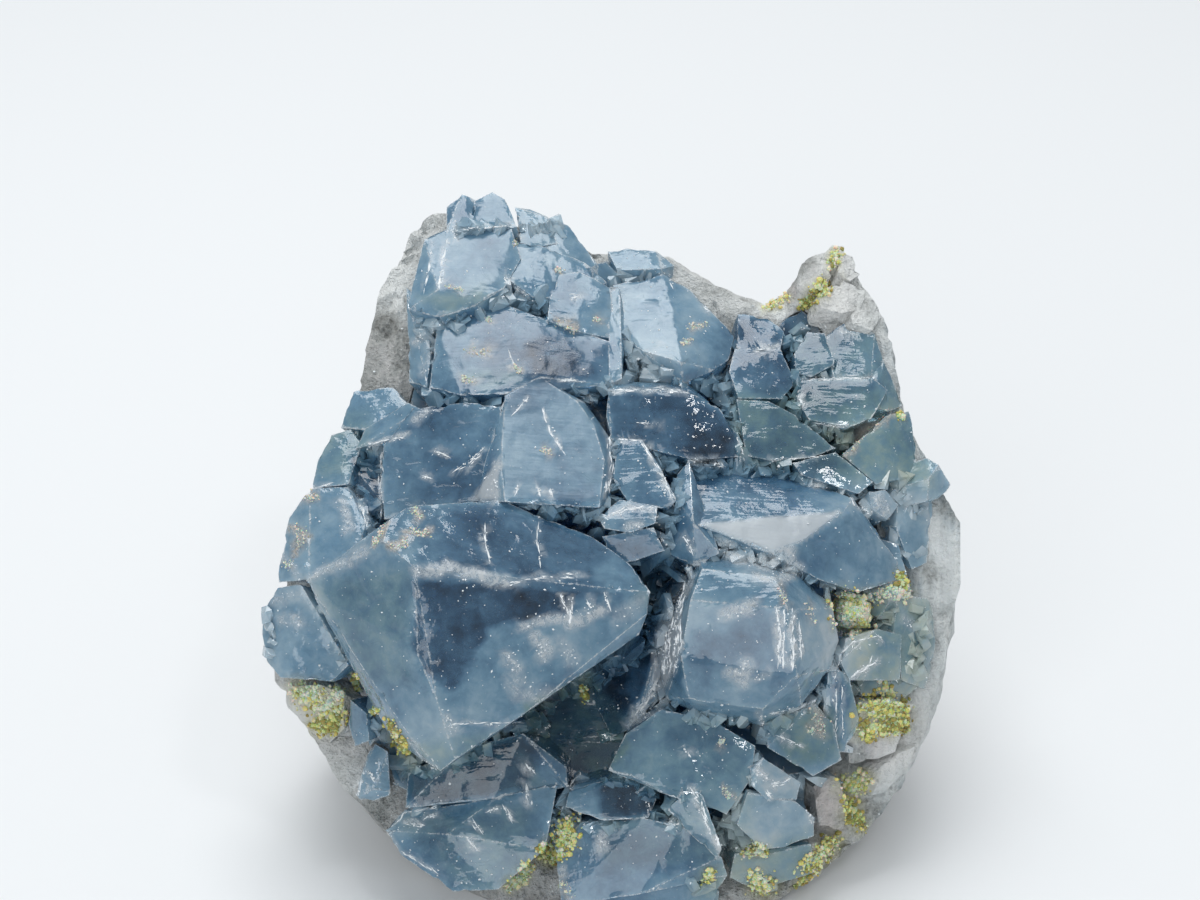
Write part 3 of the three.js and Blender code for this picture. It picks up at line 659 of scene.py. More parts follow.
def crust_material():
    """Powdery grains from cream to yellow-green, with a few brown ones."""
    shader = Shader("crust")
    colour = shader.ramp(shader.attribute("tint"), [
        (0.0, (0.68, 0.62, 0.54)),
        (0.35, (0.70, 0.67, 0.50)),
        (0.6, (0.67, 0.63, 0.33)),
        (0.85, (0.57, 0.53, 0.16)),
        (1.0, (0.28, 0.26, 0.08)),
    ])
    brighter = shader.mix(1.0, colour, (1.3, 1.25, 1.2), "MULTIPLY")
    shader.set("Base Color", shader.mix(shader.spread(shader.noise(0.12, 3), 0.4, 0.7), colour, brighter))
    shader.set("Roughness", 0.75)
    shader.set("Subsurface Weight", 0.6)
    shader.set("Subsurface Scale", 0.5 * MM)
    shader.set("Normal", shader.bump(shader.noise(0.1, 3), 0.04))
    return shader.material


def speck_material():
    """Tiny splinters and crumbs of broken crystal."""
    shader = Shader("splinters")
    shader.set("Base Color", shader.mix(shader.noise(0.5, 2), (0.80, 0.86, 0.90), (0.92, 0.93, 0.92)))
    shader.set("Roughness", shader.times(shader.noise(0.3, 2), 0.6))
    return shader.material


# Marks on the druse, in face coordinates as seen from the reading place: what is lighter (positive)
# or darker (negative) than the rest, with a soft border of so many millimetres. The dark marks in the
# hollows, under the blade and in the crevice at the left are painted shade
TONES_AND_PAINTED_SHADE = [
    # The blade at the front
    (-0.95, 0.4, [(-19.4, -13.8), (-10, -14), (-2.5, -15), (-3, -17.2), (-7.3, -17.5), (-11.7, -18.5),
                  (-13, -21.5), (-15, -24.8), (-17, -24.5), (-18.5, -22.5), (-19.4, -20)]),
    (-0.25, 1.5, [(-30, -14), (-20, -13), (-20, -24), (-24, -22)]),
    (0.35, 1.2, [(-21, -24), (-17, -26), (-14.5, -31), (-16.5, -33), (-20, -30)]),
    (0.3, 1.0, [(-16, -26.5), (-8, -26.3), (-6, -26), (-13, -31.5), (-16, -31)]),
    (-0.6, 1.5, [(-19, -6), (-4, -6.5), (2, -10), (-2, -15), (-9, -13), (-19, -12)]),
    (0.3, 1.5, [(-7, -17.5), (4, -16.5), (4.5, -18.5), (-4, -24), (-10, -26), (-10.5, -22)]),
    (0.2, 1.0, [(-1, -11), (3, -12.5), (5, -15), (3, -17), (0, -14.5)]),
    # The dark hollows round it, the place under the blade and the crevice at the left: painted shade
    (-0.95, 0.5, [(4.6, -11.2), (8.7, -11.6), (8.5, -14.5), (7.1, -15.3), (6, -18.5), (5, -24), (3, -28),
                 (-1, -24), (3.5, -20), (5.3, -16)]),
    (-0.5, 0.7, [(-7.5, -27.5), (-1, -24), (3, -28.5), (1, -33), (-4, -34.5), (-7, -31)]),
    (-0.75, 0.7, [(-22, -31.5), (-17, -34), (-8, -29), (-6, -32), (-8, -35.5), (-19.5, -37.3)]),
    (-1.4, 0.5, [(-26, -0.6), (-23, -0.5), (-22.9, -7.5), (-24.4, -7.8), (-25.5, -4)]),
    # Round the middle
    (-0.35, 0.8, [(-22.5, 0), (-10.5, 0), (-11, -5), (-18, -5), (-22.5, -7)]),
    (-0.3, 0.8, [(-19, 6), (-10.5, 6), (-10.5, 0.5), (-19, 1)]),
    (-0.4, 0.8, [(0.8, 6), (9, 5.8), (13.5, 3.5), (14, -1), (9, -1), (5, 1), (1, 2)]),
    (-0.45, 0.8, [(0, -8.5), (6, -9), (7, -11.5), (3, -11.8)]),
    (-0.35, 0.6, [(14, 14.2), (19.5, 13), (20, 10), (14.2, 9.8)]),
    (-0.3, 1.0, [(14, 10), (20, 10), (20, 6), (14, 5.5)]),
    (-0.2, 1.0, [(14, 5.2), (20, 4), (26, 1.5), (26, -2.5), (15, -1)]),
    (-0.35, 1.0, [(20.3, 7), (28.5, 7), (29.5, 4.2), (26, 2.5), (21, 3.6)]),
    (-0.2, 1.2, [(26, 1.5), (33, 2), (34, -4), (28, -3.5)]),
    (-0.45, 1.2, [(-8, 12), (1, 11.4), (1, 7.5), (-6, 7)]),
    (-0.25, 1.5, [(-12, 12), (-6, 12), (-6, 7), (-12, 8)]),
    (-0.2, 1.0, [(-17, 13.5), (-8, 15), (-12, 10), (-17, 9)]),
    (0.45, 1.0, [(-15, 8), (-8, 9.5), (-8, 7), (-12, 6)]),
    (0.4, 1.0, [(-20, 16), (-13, 16.8), (-11.5, 18), (-11.5, 16.3), (-15, 14.3), (-19, 14.3)]),
    (0.25, 1.0, [(2, 12), (8.5, 7), (13.5, 10), (11, 11)]),
    (-0.3, 0.7, [(2.5, 17.3), (7.4, 18.4), (9.4, 16.5), (7, 16)]),
    (-0.45, 0.6, [(12, -9.6), (16, -9.8), (17.9, -10.8), (15, -11.5)]),
    (-0.4, 0.6, [(9.6, -3.2), (13, -2.2), (10.5, -5)]),
    (-0.3, 1.0, [(20.7, -10), (26, -6.8), (30, -8), (30.5, -14), (25, -15), (21, -13)]),
    (-0.45, 1.5, [(9.5, -19), (18, -18.5), (18, -21.5), (11, -21.5)]),
    (0.1, 1.0, [(9, -24.5), (22, -24.5), (17.5, -28), (10, -26.5)]),
    (-0.3, 1.0, [(30, -8.5), (33, -9), (34, -13), (30.5, -12)]),
    (-0.2, 1.0, [(28, -17), (34, -17), (34, -22), (30, -21), (26, -19)]),
    (-0.5, 0.6, [(24, -22.5), (26, -24.5), (26.3, -31), (24, -31)]),
    (0.3, 1.2, [(32.5, 1), (35.5, -6), (37, -14), (36.5, -24), (34, -28), (34, -20), (34.5, -12),
                (33, -5)]),
    (0.15, 1.5, [(5, -10), (20, -10), (20, -17), (5, -17)]),
    (0.2, 1.5, [(4, -24), (20, -24), (20, -29), (4, -29)]),
    (0.45, 1.5, [(20, -17), (28, -17), (29, -24), (21, -25)]),
    (-0.3, 1.5, [(-20, -12), (-12, -12), (-12, -20), (-18, -20)]),
    (0.3, 1.2, [(20, -25), (28, -25), (28, -36), (20, -36)]),
    (-0.2, 1.5, [(-12, 12.5), (3, 12), (3, 7), (-12, 7)]),
    # The lower edge
    (-0.35, 1.0, [(17, -28.5), (24, -27), (24, -32.5), (21, -33)]),
    (-0.25, 1.5, [(6, -27), (15.5, -28.5), (15.5, -36), (6, -33)]),
    (-0.9, 0.5, [(0, -34.3), (4, -34.6), (5.8, -36.3), (5, -38.4), (0, -38.4)]),
    (0.15, 1.0, [(2, -29.5), (6.5, -28.5), (7.5, -32), (2, -32.5)]),
    (0.5, 0.6, [(15.7, -32), (18, -32.2), (21, -34.8), (18.5, -36), (16, -35)]),
    (0.35, 1.0, [(15.5, -37), (22, -38.5), (22.5, -40), (16, -41.5)]),
    (-1.7, 0.4, [(24.4, -32.9), (29.5, -32), (29, -33.8), (26, -33.8)]),
    (0.2, 0.8, [(-22, -39), (-19, -38), (-19, -42), (-21, -41.5)]),
    (-0.25, 1.0, [(-17, -41), (-9, -41), (-8, -44), (-14, -45)]),
    (-0.2, 1.5, [(0, -39), (10, -40.5), (9, -43.5), (1, -42)]),
    (-0.6, 0.6, [(-8, -45), (-5, -44.5), (-4, -47), (-9, -47)]),
]

# White veils, frosted breaks and scratches, and painted highlights and sparkles on the bottom-left crystal:
# how strong, how wide and their course
WHITES = [
    # The blade
    (1.0, 0.75, [(-19.2, -12.6), (-17.5, -12.6), (-15, -12.5), (-12.5, -13.2), (-10, -13.9)]),
    (0.5, 0.45, [(-10, -13.9), (-6, -13.2), (-2, -13)]),
    (0.95, 0.8, [(-8, -18.3), (-5.5, -17.6), (-2.5, -18), (0, -16.9)]),
    (0.9, 0.75, [(-6.6, -19.6), (-5.3, -20.8), (-6, -21.6)]),
    (0.75, 0.8, [(-9.5, -21.4), (-8.6, -22.7)]),
    (0.55, 1.1, [(-9.2, -23.5), (-8.6, -25.4), (-5.6, -25.6)]),
    (0.5, 0.9, [(-4, -20), (-2.8, -22)]),
    (0.75, 0.3, [(-4.2, -15), (-3, -17.4)]),
    (0.75, 0.3, [(-2.9, -15.4), (-3.2, -17.8)]),
    (0.7, 0.35, [(-1.3, -15.5), (-0.8, -16.8)]),
    (0.6, 0.3, [(0.5, -14.8), (1, -16.6)]),
    (0.7, 0.18, [(-15.5, -28.6), (-12, -28.4), (-8.3, -28.4)]),
    (0.7, 0.5, [(-15.9, -27.8), (-15.3, -29.3)]),
    (0.75, 0.16, [(-12, -8), (-11.9, -10), (-11.4, -11.8)]),
    (0.65, 0.14, [(-6.3, -7), (-6.6, -9), (-6.2, -12)]),
    (0.7, 0.6, [(-30, -13.2), (-27.5, -12.2), (-24.5, -10.6)]),
    (0.7, 0.3, [(-19.8, -30.6), (-17.1, -33.5)]),
    (0.4, 0.9, [(4.6, -15.8), (2, -17.4)]),
    # The frosted break and the roofed crystal beside it
    (1.0, 0.45, [(9.2, -12.4), (8.9, -14.5), (8.3, -16.4)]),
    (0.95, 0.6, [(7.2, -15.5), (7.4, -17.4), (8.1, -18)]),
    (0.85, 0.95, [(7.5, -18), (6.9, -20), (6.8, -22), (6.3, -24)]),
    (1.0, 0.5, [(6.3, -20.5), (6.7, -22.3), (6.3, -24.5), (5.3, -25.4)]),
    (0.9, 0.35, [(8.3, -18.5), (8.4, -20.5), (7.7, -23)]),
    (0.9, 0.5, [(6.4, -26.2), (4.8, -27.2), (3.3, -28.4)]),
    (1.0, 0.45, [(8.9, -12.6), (8.6, -15), (8, -17.8)]),
    (1.0, 0.45, [(7.6, -17), (7.2, -19.5), (6.9, -22), (6, -24.6)]),
    (1.0, 0.45, [(8.2, -18), (7.9, -20.5), (7.1, -23.2), (5.6, -25.2)]),
    (1.0, 0.45, [(7, -19), (6.9, -21), (6.5, -23.2), (5.4, -25)]),
    (1.0, 0.4, [(6, -24.8), (4.6, -26.4), (3.6, -27.8)]),
    (1.0, 0.4, [(9.5, -1.05), (11, -1.3), (12.7, -1.7)]),
    (1.0, 0.7, [(12.5, -10), (14.5, -11.6), (17, -12), (18.5, -11.2)]),
    (1.0, 1.0, [(18, -11), (19.5, -10.7), (20.3, -12.2), (19, -13.2)]),
    (0.9, 0.5, [(15.8, -13.2), (18, -13.3), (20.5, -13)]),
    (0.8, 0.4, [(8.9, -9.1), (9.6, -10.5)]),
    (0.75, 0.35, [(22.3, -3.6), (23.6, -3.8)]),
    (0.9, 0.4, [(26.3, -5.1), (26.6, -6), (28.2, -6.6)]),
    (0.85, 1.1, [(29, -5.2), (29.5, -6.3)]),
    # The block at the right
    (0.85, 0.8, [(13, -17.3), (14.3, -16.8), (16, -15.9)]),
    (0.9, 0.85, [(13.9, -23.3), (14.8, -24), (15.3, -22.2)]),
    (0.55, 0.5, [(16, -23.8), (17.3, -23.5)]),
    (1.0, 0.28, [(18.4, -16.5), (18.7, -19), (18.6, -22.2)]),
    (0.9, 0.2, [(19.2, -16.8), (19.1, -22.6)]),
    (1.0, 0.42, [(20.2, -16.9), (20.1, -19.5), (19.9, -22.5)]),
    (0.95, 0.3, [(20.8, -18.3), (20.9, -21.3)]),
    (0.8, 0.4, [(16.8, -27.6), (16.9, -28.8)]),
    (0.8, 0.2, [(18, -27.4), (20.5, -27), (22.3, -26.1)]),
    (0.95, 0.42, [(26.1, -23.7), (27.5, -22.8), (29, -21.9)]),
    (0.75, 0.2, [(25.2, -21), (26.3, -20), (28.9, -19.3), (29.8, -20)]),
    (0.7, 0.25, [(24.4, -23.6), (25, -22)]),
    (0.85, 0.22, [(18.6, -29.8), (19.6, -30.2), (20.8, -30.8)]),
    (0.5, 0.12, [(24.6, -24), (24.6, -30)]),
    (0.5, 0.12, [(25.2, -24), (25.3, -30)]),
    (0.45, 0.12, [(27, -25), (28.3, -21.5)]),
    # The rest of the right side
    (0.8, 0.3, [(0.8, 6.3), (3, 6.2), (6.5, 6.3), (9, 6)]),
    (0.5, 0.2, [(3.8, 2.9), (6, 2.7)]),
    (0.9, 0.25, [(2, 1.1), (4.2, 1.05), (5.5, -1), (6.8, -2.8), (7.6, -5.6)]),
    (0.85, 0.35, [(6.3, -2.2), (7, -4)]),
    (0.8, 0.35, [(5.8, -6), (6.2, -8), (6.5, -9.7)]),
    (0.8, 0.25, [(0.1, -7.1), (2.6, -6.2), (5.5, -5.9)]),
    (0.8, 0.5, [(2.6, -8.2), (4.2, -8)]),
    (0.85, 0.3, [(16.2, 10.4), (17.4, 10.5), (18.4, 11)]),
    (0.75, 0.2, [(20.6, 7.4), (23, 7.3), (26, 7.5), (28.4, 7.6)]),
    (0.8, 0.4, [(20.7, 5.6), (21, 4.7)]),
    (0.6, 0.2, [(22, 2.9), (24, 2.5), (26.2, 2.3)]),
    (0.65, 0.18, [(17.6, -1.2), (20, -0.9), (23.2, -0.6)]),
    (0.6, 0.2, [(14.2, 1.7), (14.8, 0), (15.1, -1.3)]),
    (0.7, 0.6, [(25.2, 12.4), (26.4, 12.2)]),
    (0.5, 0.4, [(21, 12.6), (22.2, 12.2), (23.5, 12.8)]),
    (0.45, 0.9, [(34.2, -6), (35.4, -9), (35.9, -12)]),
    (0.4, 0.6, [(34.6, -21), (34.2, -25)]),
    (0.6, 0.5, [(31.5, -17.6), (32.5, -18.4)]),
    # The upright crystal in the middle
    (0.95, 0.38, [(-1.2, 5.5), (0, 3.4), (0.9, 1.4), (1.15, -1.5), (0.75, -4.5)]),
    (0.7, 0.18, [(-8.9, 3.9), (-7.5, 5.5)]),
    (0.85, 0.16, [(-5.9, 4.2), (-5.3, 2), (-3.8, -0.3)]),
    (0.8, 0.22, [(-8.6, -3.8), (-8.8, -4.6)]),
    (0.7, 0.22, [(-6.5, -3.6), (-6.3, -4.6)]),
    (0.7, 0.22, [(-5.2, -4), (-5, -4.7)]),
    (1.0, 0.5, [(-10.6, -1.5), (-11.2, -3.8), (-12.3, -4.9)]),
    (1.0, 0.5, [(-11, -3), (-11, -5)]),
    (0.7, 0.2, [(-12, 0.3), (-13.6, -1.2)]),
    (0.75, 0.3, [(-17, -0.2), (-16, -0.5)]),
    (0.75, 0.3, [(-18.6, -2.7), (-17.6, -2.9)]),
    (0.6, 0.2, [(-15.2, -2.2), (-13.8, -1.6), (-12.6, -0.7)]),
    # The left side
    (1.0, 0.3, [(-24.2, 0.3), (-22.3, 1), (-20.4, 1.4)]),
    (0.9, 0.25, [(-22.7, -0.2), (-22.9, -3.5), (-22.8, -7.2)]),
    (0.8, 0.6, [(-19.3, 2.8), (-17.8, 4.4)]),
    (0.8, 0.8, [(-27, -5.5), (-26.2, -7), (-26.4, -8.4)]),
    (0.85, 0.35, [(-25.3, -4.3), (-24.6, -6.2), (-24.3, -8)]),
    (0.7, 0.35, [(-31.5, -5.4), (-29.8, -4), (-28.2, -3.6)]),
    (0.55, 0.6, [(-32.8, -11), (-31.5, -13.3), (-30.5, -13.8)]),
    (0.6, 0.9, [(-33, -17.6), (-31.4, -17.9)]),
    (0.5, 0.9, [(-34, -15.5), (-31, -15)]),
    (0.7, 0.3, [(-24, -33.5), (-23.4, -34.6)]),
    (0.8, 0.25, [(-21.6, -34), (-21, -35.4)]),
    (0.6, 0.3, [(-25.2, -36), (-24.8, -33.5)]),
    # The upper left
    (0.8, 0.2, [(-16.8, 16.8), (-16.4, 19.5), (-15.9, 21.7)]),
    (0.4, 0.2, [(-18.3, 16.5), (-17.4, 21.5)]),
    (0.9, 0.25, [(-10, 18), (-9.6, 17.3), (-7.4, 16)]),
    (0.85, 0.18, [(-14.2, 23), (-12.5, 23.1), (-9, 23.3)]),
    (0.7, 0.5, [(-14.8, 22.3), (-15.3, 23.4)]),
    (0.7, 0.6, [(-19, 11.6), (-18.5, 12)]),
    (0.5, 0.6, [(-17.3, 13), (-17.8, 10.5), (-18.4, 8)]),
    (0.75, 0.4, [(-3, 15.9), (-2.2, 16)]),
    (0.7, 0.18, [(-9.4, 10), (-9, 9)]),
    (0.9, 0.18, [(-4, 7.2), (-2.5, 7.3)]),
    (0.7, 0.18, [(-2, 22), (-1, 20.3), (-0.4, 19.4)]),
    (0.6, 0.3, [(6.2, 18.3), (7.3, 18.3)]),
    (0.6, 0.18, [(7.2, 18.2), (7.6, 17)]),
    (0.6, 0.35, [(10.8, 14.9), (11.5, 14.5)]),
    # The lower edge
    (0.8, 0.35, [(9.4, -35.2), (10.4, -36.5), (11, -38.4), (11.4, -39.8)]),
    (1.0, 0.45, [(12.1, -40.3), (12.7, -41.8)]),
    (0.8, 0.4, [(7, -38.4), (8.2, -39)]),
    (0.8, 0.5, [(16.2, -33), (17.4, -34.2)]),
    (0.8, 0.4, [(18, -34.9), (20, -34.2)]),
    (0.7, 0.3, [(17.2, -35.2), (17.8, -36.4)]),
    (0.9, 0.45, [(21.6, -37.9), (22.3, -38.6)]),
    (0.6, 0.15, [(8.7, -31), (9.4, -32)]),
    # Painted highlights and sparkles on the bottom-left crystal, with white streaks between them
    (0.8, 0.45, [(-20, -38.8), (-18.5, -39.3)]),
    (0.7, 0.3, [(-18.2, -38.4), (-17, -38)]),
    (0.75, 0.35, [(-13.2, -38.6), (-12.4, -39.8)]),
    (0.75, 0.35, [(-13.8, -40.6), (-12.8, -41.5)]),
    (0.8, 0.3, [(-11.6, -37.6), (-10.6, -37.2)]),
    (0.8, 0.3, [(-9.9, -37.2), (-9.2, -38.4)]),
    (0.8, 0.35, [(-7.6, -32.8), (-7, -33.6)]),
    (0.75, 0.35, [(-8, -34.6), (-7.2, -37)]),
    (0.6, 0.15, [(-6.6, -30.1), (-5.3, -28.6)]),
    (0.7, 0.2, [(-22.2, -40.2), (-20.3, -37.8), (-17, -37.2)]),
    (0.6, 0.2, [(-22.4, -39.4), (-21, -41.6), (-17, -44)]),
    (0.85, 0.7, [(0.2, -40.5), (0.4, -41.6)]),
    (0.8, 0.7, [(-4, -43.8), (-4.6, -45.8)]),
    (0.7, 0.4, [(-2.4, -33.8), (-3.2, -35)]),
]

# Painted highlights on facets that gleam almost white and on the frosted break: how strong, the border and
# the outline
PAINTED_HIGHLIGHTS = [
    (0.95, 0.35, [(10.3, -7.7), (25.2, -6.3), (20.8, -9.6), (18, -10.6), (14, -9.4)]),
    (0.9, 0.3, [(-10.3, -0.4), (-10.7, -5.2), (-13.4, -5.3)]),
    (0.6, 0.4, [(9.3, -1), (13, -1.5), (12.8, -2), (9.4, -1.6)]),
    (0.75, 0.5, [(9.3, -12.2), (8.9, -14.5), (8.5, -16.5), (8.7, -19), (8.1, -22), (7, -24.2), (5.2, -25.4),
                 (5.6, -23), (5.4, -21.5), (5.9, -18.8), (6.8, -16.8), (7.7, -17), (8.3, -15)]),
    (0.35, 0.8, [(12, -9.8), (15, -11.2), (18, -10.6), (20.5, -11), (20.8, -12.8), (17, -13.6), (15, -12.6)]),
]

# Frosted facets: how matt, the border and the outline
MATTS = [
    (1.0, 0.5, [(-10.4, 3.5), (-8.5, 6.8), (-5, 7.6), (-1.5, 6), (0.9, 2.5), (1.3, -1), (0.9, -5.2),
                (-10.4, -5.2)]),
    (0.45, 1.0, [(-18, 23), (-10, 23), (-8, 19), (-12, 15.5), (-19, 16)]),
    (0.5, 1.0, [(-17, 12), (-8, 14), (1, 11), (1, 7), (-16, 7)]),
]

# Rough cream and brown stains
STAINS = [
    (0.9, 0.5, [(-19.6, -6.2), (-18.6, -7)]),
    (1.0, 0.5, [(-19.8, -8.4), (-18, -8.7)]),
    (0.9, 0.5, [(-22.2, -9.9), (-20.6, -10), (-20.2, -9.3)]),
    (1.0, 0.35, [(-22.4, -7.6), (-23.6, -10)]),
    (0.8, 0.6, [(-31.2, -4.8), (-29.2, -4.9)]),
    (0.8, 0.6, [(-32, -8), (-30.6, -8.6), (-31.6, -10.4)]),
    (0.6, 0.5, [(-32.6, -12)]),
    (0.9, 0.6, [(-4.6, 13.2), (-2.4, 12.4)]),
    (0.7, 0.3, [(-11.6, 13.6)]),
    (0.7, 0.35, [(-0.6, 13.6), (-0.1, 13.5)]),
    (0.6, 0.4, [(-8.8, 21.6)]),
    (0.6, 0.4, [(-4.6, 18.8), (-4, 18.6)]),
    (0.7, 0.6, [(-13.6, 10.4), (-11.7, 10)]),
    (0.8, 0.45, [(9.2, 12.9), (10.8, 12.9)]),
    (0.7, 0.4, [(8.6, 11.2), (9.4, 11.5)]),
    (0.5, 0.6, [(18.8, -14.2), (19.2, -15.8)]),
    (0.5, 0.4, [(21.5, -16), (22.4, -18)]),
    (0.8, 0.8, [(22.6, -27.4), (23.2, -29.6)]),
    (0.7, 0.5, [(22, -29.2)]),
    (0.8, 0.4, [(12.6, -30.4)]),
    (0.8, 0.4, [(12.9, -35.2), (13.6, -36.2)]),
    (0.6, 0.5, [(-5.9, 0.2), (-5.1, -0.4)]),
    (0.7, 0.5, [(-14.2, 7.4), (-13.4, 7.2)]),
    (0.6, 0.2, [(-16.3, 17.2), (-14.2, 16.6)]),
    (0.8, 0.3, [(-8.9, 8.8), (-8.2, 8.1)]),
    (0.6, 0.7, [(-4, -45), (-3, -46.4)]),
    (0.9, 0.35, [(25.2, -0.5), (26.4, 0.3), (27.6, 1.9), (29.2, 3.2), (30.2, 4.2)]),
]

# Where crystals are grey to brown instead of blue: how strongly, the border and the outline
WARM = [
    (0.8, 2.0, [(14, 6), (31, 6), (34, 0), (35, -4), (24, -3), (14, -1)]),
    (0.5, 2.0, [(20, 13), (30, 13), (31, 6), (20, 6)]),
    (1.0, 0.8, [(-8, -26.5), (-1, -23), (2, -27), (3, -31), (0, -34), (-7, -31)]),
    (0.6, 1.0, [(-22, -31), (-8, -29), (-6, -35), (-19, -37)]),
    (0.45, 2.0, [(-30, -14), (-20, -12), (-20, -24), (-25, -24)]),
    (0.9, 1.0, [(17, -28), (24.5, -26.5), (25, -32), (20, -33)]),
    (0.7, 1.0, [(26, -16), (35, -15), (35, -32), (26, -31)]),
    (0.7, 2.0, [(10, -43), (24, -39), (24, -47), (10, -47)]),
    (0.5, 1.0, [(3.6, -13.6), (5.6, -14), (5.4, -17), (3.4, -16)]),
    (0.45, 1.5, [(-22, -38), (-7, -37), (-8, -46), (-14, -46)]),
    (0.35, 1.5, [(2, -27), (16, -28), (16, -42), (0, -44), (0, -34)]),
    (0.6, 1.0, [(-19, 16), (-12, 17), (-11, 16), (-16, 14)]),
    (0.5, 1.0, [(-15, 8), (-8, 9), (-8, 7), (-12, 6)]),
    (0.5, 1.5, [(-30, 4), (-24, 4), (-24, -3), (-30, -3)]),
]

# Where the rind is pinkish
PINKS = [
    (0.9, 2.0, [(17, 14), (26, 21), (27, 14), (22, 11)]),
    (0.6, 2.0, [(-33, -24), (-25, -26), (-24, -33), (-30, -31)]),
    (0.6, 2.0, [(28, -30), (34, -25), (34, -32), (28, -35)]),
    (0.6, 1.5, [(22, -34), (26, -36), (25, -40), (22, -39)]),
]

# Where the rind is pale and faintly clear: how strongly, the border and the outline
PALES = [
    (0.9, 1.0, [(16, 15), (20, 15.5), (22, 19), (23.5, 22), (27, 21), (29.5, 14), (30.5, 10), (26, 12),
                (22, 11)]),
    (0.95, 1.0, [(-24, 14.5), (-21.5, 22), (-18, 27.5), (-13, 28), (-13, 22), (-17.5, 17), (-20, 13)]),
    (0.8, 1.0, [(-1.5, 17.5), (0, 21.5), (8, 21.5), (13, 18.5), (20, 15), (18, 11.5), (11, 14.5),
                (4, 17)]),
    (0.7, 1.5, [(-36, -24), (-26, -24), (-22, -36), (-28, -36)]),
    (0.8, 1.2, [(30, 10), (34, -2), (38, -12), (37, -28), (30, -36), (26, -36), (32, -27), (34, -14),
                (32, -2), (28, 9)]),
]

# Yellow-green and cream crust: its course, how wide, how yellow (0 cream to 1 yellow-green) and how
# many grains
CRUSTS = [
    ([(25.3, -15.6), (26.5, -16.5), (27, -18)], 1.4, 0.5, 300),
    ([(25, -17.6), (26.4, -18.4)], 0.9, 0.05, 170),
    ([(27.8, -15.4), (30.5, -14.8), (32.2, -15.2)], 0.6, 0.15, 110),
    ([(31.2, -13), (31.7, -14.4)], 0.5, 0.9, 60),
    ([(27.8, -27), (29.5, -26.6), (31, -27.5)], 1.3, 0.8, 260),
    ([(27.3, -29.4), (29, -29), (31.5, -28.6)], 0.9, 0.95, 180),
    ([(29.6, -24.6), (30.4, -26)], 0.6, 0.6, 60),
    ([(31.6, -26), (31.8, -29)], 0.5, 1.0, 60),
    ([(25.4, -34.6), (26.6, -35), (27.6, -34.4)], 0.9, 0.6, 150),
    ([(26, -36.4), (26.3, -38), (27.2, -39)], 0.8, 0.95, 140),
    ([(24.6, -40.6), (23, -42.2), (21.4, -43.4)], 0.9, 0.7, 160),
    ([(22.4, -44.4), (20.8, -45.6)], 0.8, 1.0, 110),
    ([(15, -42), (16.4, -41.4), (17, -41.9)], 0.6, 0.6, 90),
    ([(11.6, -43.8), (11, -45)], 0.5, 0.8, 50),
    ([(16, -45), (17.5, -45.4)], 1.0, 0.6, 110),
    ([(-31.4, -25), (-29.6, -25.8), (-28, -26.6)], 1.1, 0.5, 230),
    ([(-29.6, -28.4), (-28.2, -28.8), (-27, -27.2)], 1.0, 1.0, 200),
    ([(-27.6, -24.8), (-26.8, -25.4)], 0.5, 0.4, 50),
    ([(-25.5, -23.4), (-25.2, -25)], 0.35, 0.8, 50),
    ([(-23.4, -27.2)], 0.45, 0.8, 25),
    ([(-22, -28.4), (-21, -30), (-20.4, -31.4)], 0.55, 0.9, 110),
    ([(-3.2, -38.8), (-4, -40.2), (-3.4, -41)], 0.95, 0.75, 200),
    ([(-6, -41.4), (-5.4, -42.2), (-4, -42)], 0.8, 0.8, 170),
    ([(-7.4, -43.2), (-8.2, -44.6), (-9.6, -45.4)], 0.6, 0.6, 130),
    ([(-1.8, -24.8), (-1.4, -26)], 0.4, 0.9, 40),
    ([(21.2, 15.2), (22, 15.6)], 0.6, 1.0, 70),
    ([(22.4, 16.2), (23.3, 17.2)], 0.8, 0.9, 90),
    ([(24.2, 19.2), (24.8, 20.6)], 0.6, 0.7, 50),
    ([(17.2, 14.8), (19.6, 16)], 0.45, 0.6, 60),
    ([(31.2, 3.8), (31.4, 3.2)], 0.3, 0.8, 25),
]

# Lumps of crust that fill a hollow: their middle, half their width and half their height
CRUST_LUMPS = [((26.2, -16.7, -5.0), 1.9, 3.5)]

# Places on the druse that are paler or darker than the rest: u, v, w and how much
CRYSTAL_TONES = [
    (-8, -18, 6, 0.0), (-22, -20, 8, 0.15), (-5, -9, 4, -0.1), (15, -19, 4, 0.12),
    (18, -5, -2, -0.25), (15, -10, 0, 0.0), (-4, 1, 0, 0.12), (6, 12, -8, 0.4), (-14, 19, -11, 0.15),
    (-3, 18, -12, 0.15), (-9, 10, -6, -0.3), (-17, 0, -2, 0.05), (8, 2, -4, -0.5),
    (5, -3, 0, -0.2), (17, 11, -11, -0.3), (26, 10, -11, -0.15), (20, 2, -6, -0.1),
    (30, 0, -7, 0.3), (28, -9, -3, 0.4), (33, -8, -8, 0.75), (33, -20, -6, 0.8),
    (28, -21, -2, 0.8), (25, -27, -1, 0.15), (5, -22, -4, -0.35), (8, -32, 3, -0.15),
    (20, -30, 0, 0.0), (19, -38, 2, 0.5), (3, -43, 3, -0.02), (-13, -41, 3, 0.0),
    (-12, -34, 1, -0.3), (-31, -19, 0, 0.6), (-29, -8, -1, 0.35), (-27, 0, -6, 0.4),
    (-24, 4, -8, 0.2), (-19, 11, -9, 0.2), (-14, 26, -16, 0.15), (-5, 24, -16, 0.35),
    (4, 20, -16, 0.5), (14, 17, -15, 0.5), (-23, -34, 1, 0.4), (-25, -29, 0, 0.0),
]


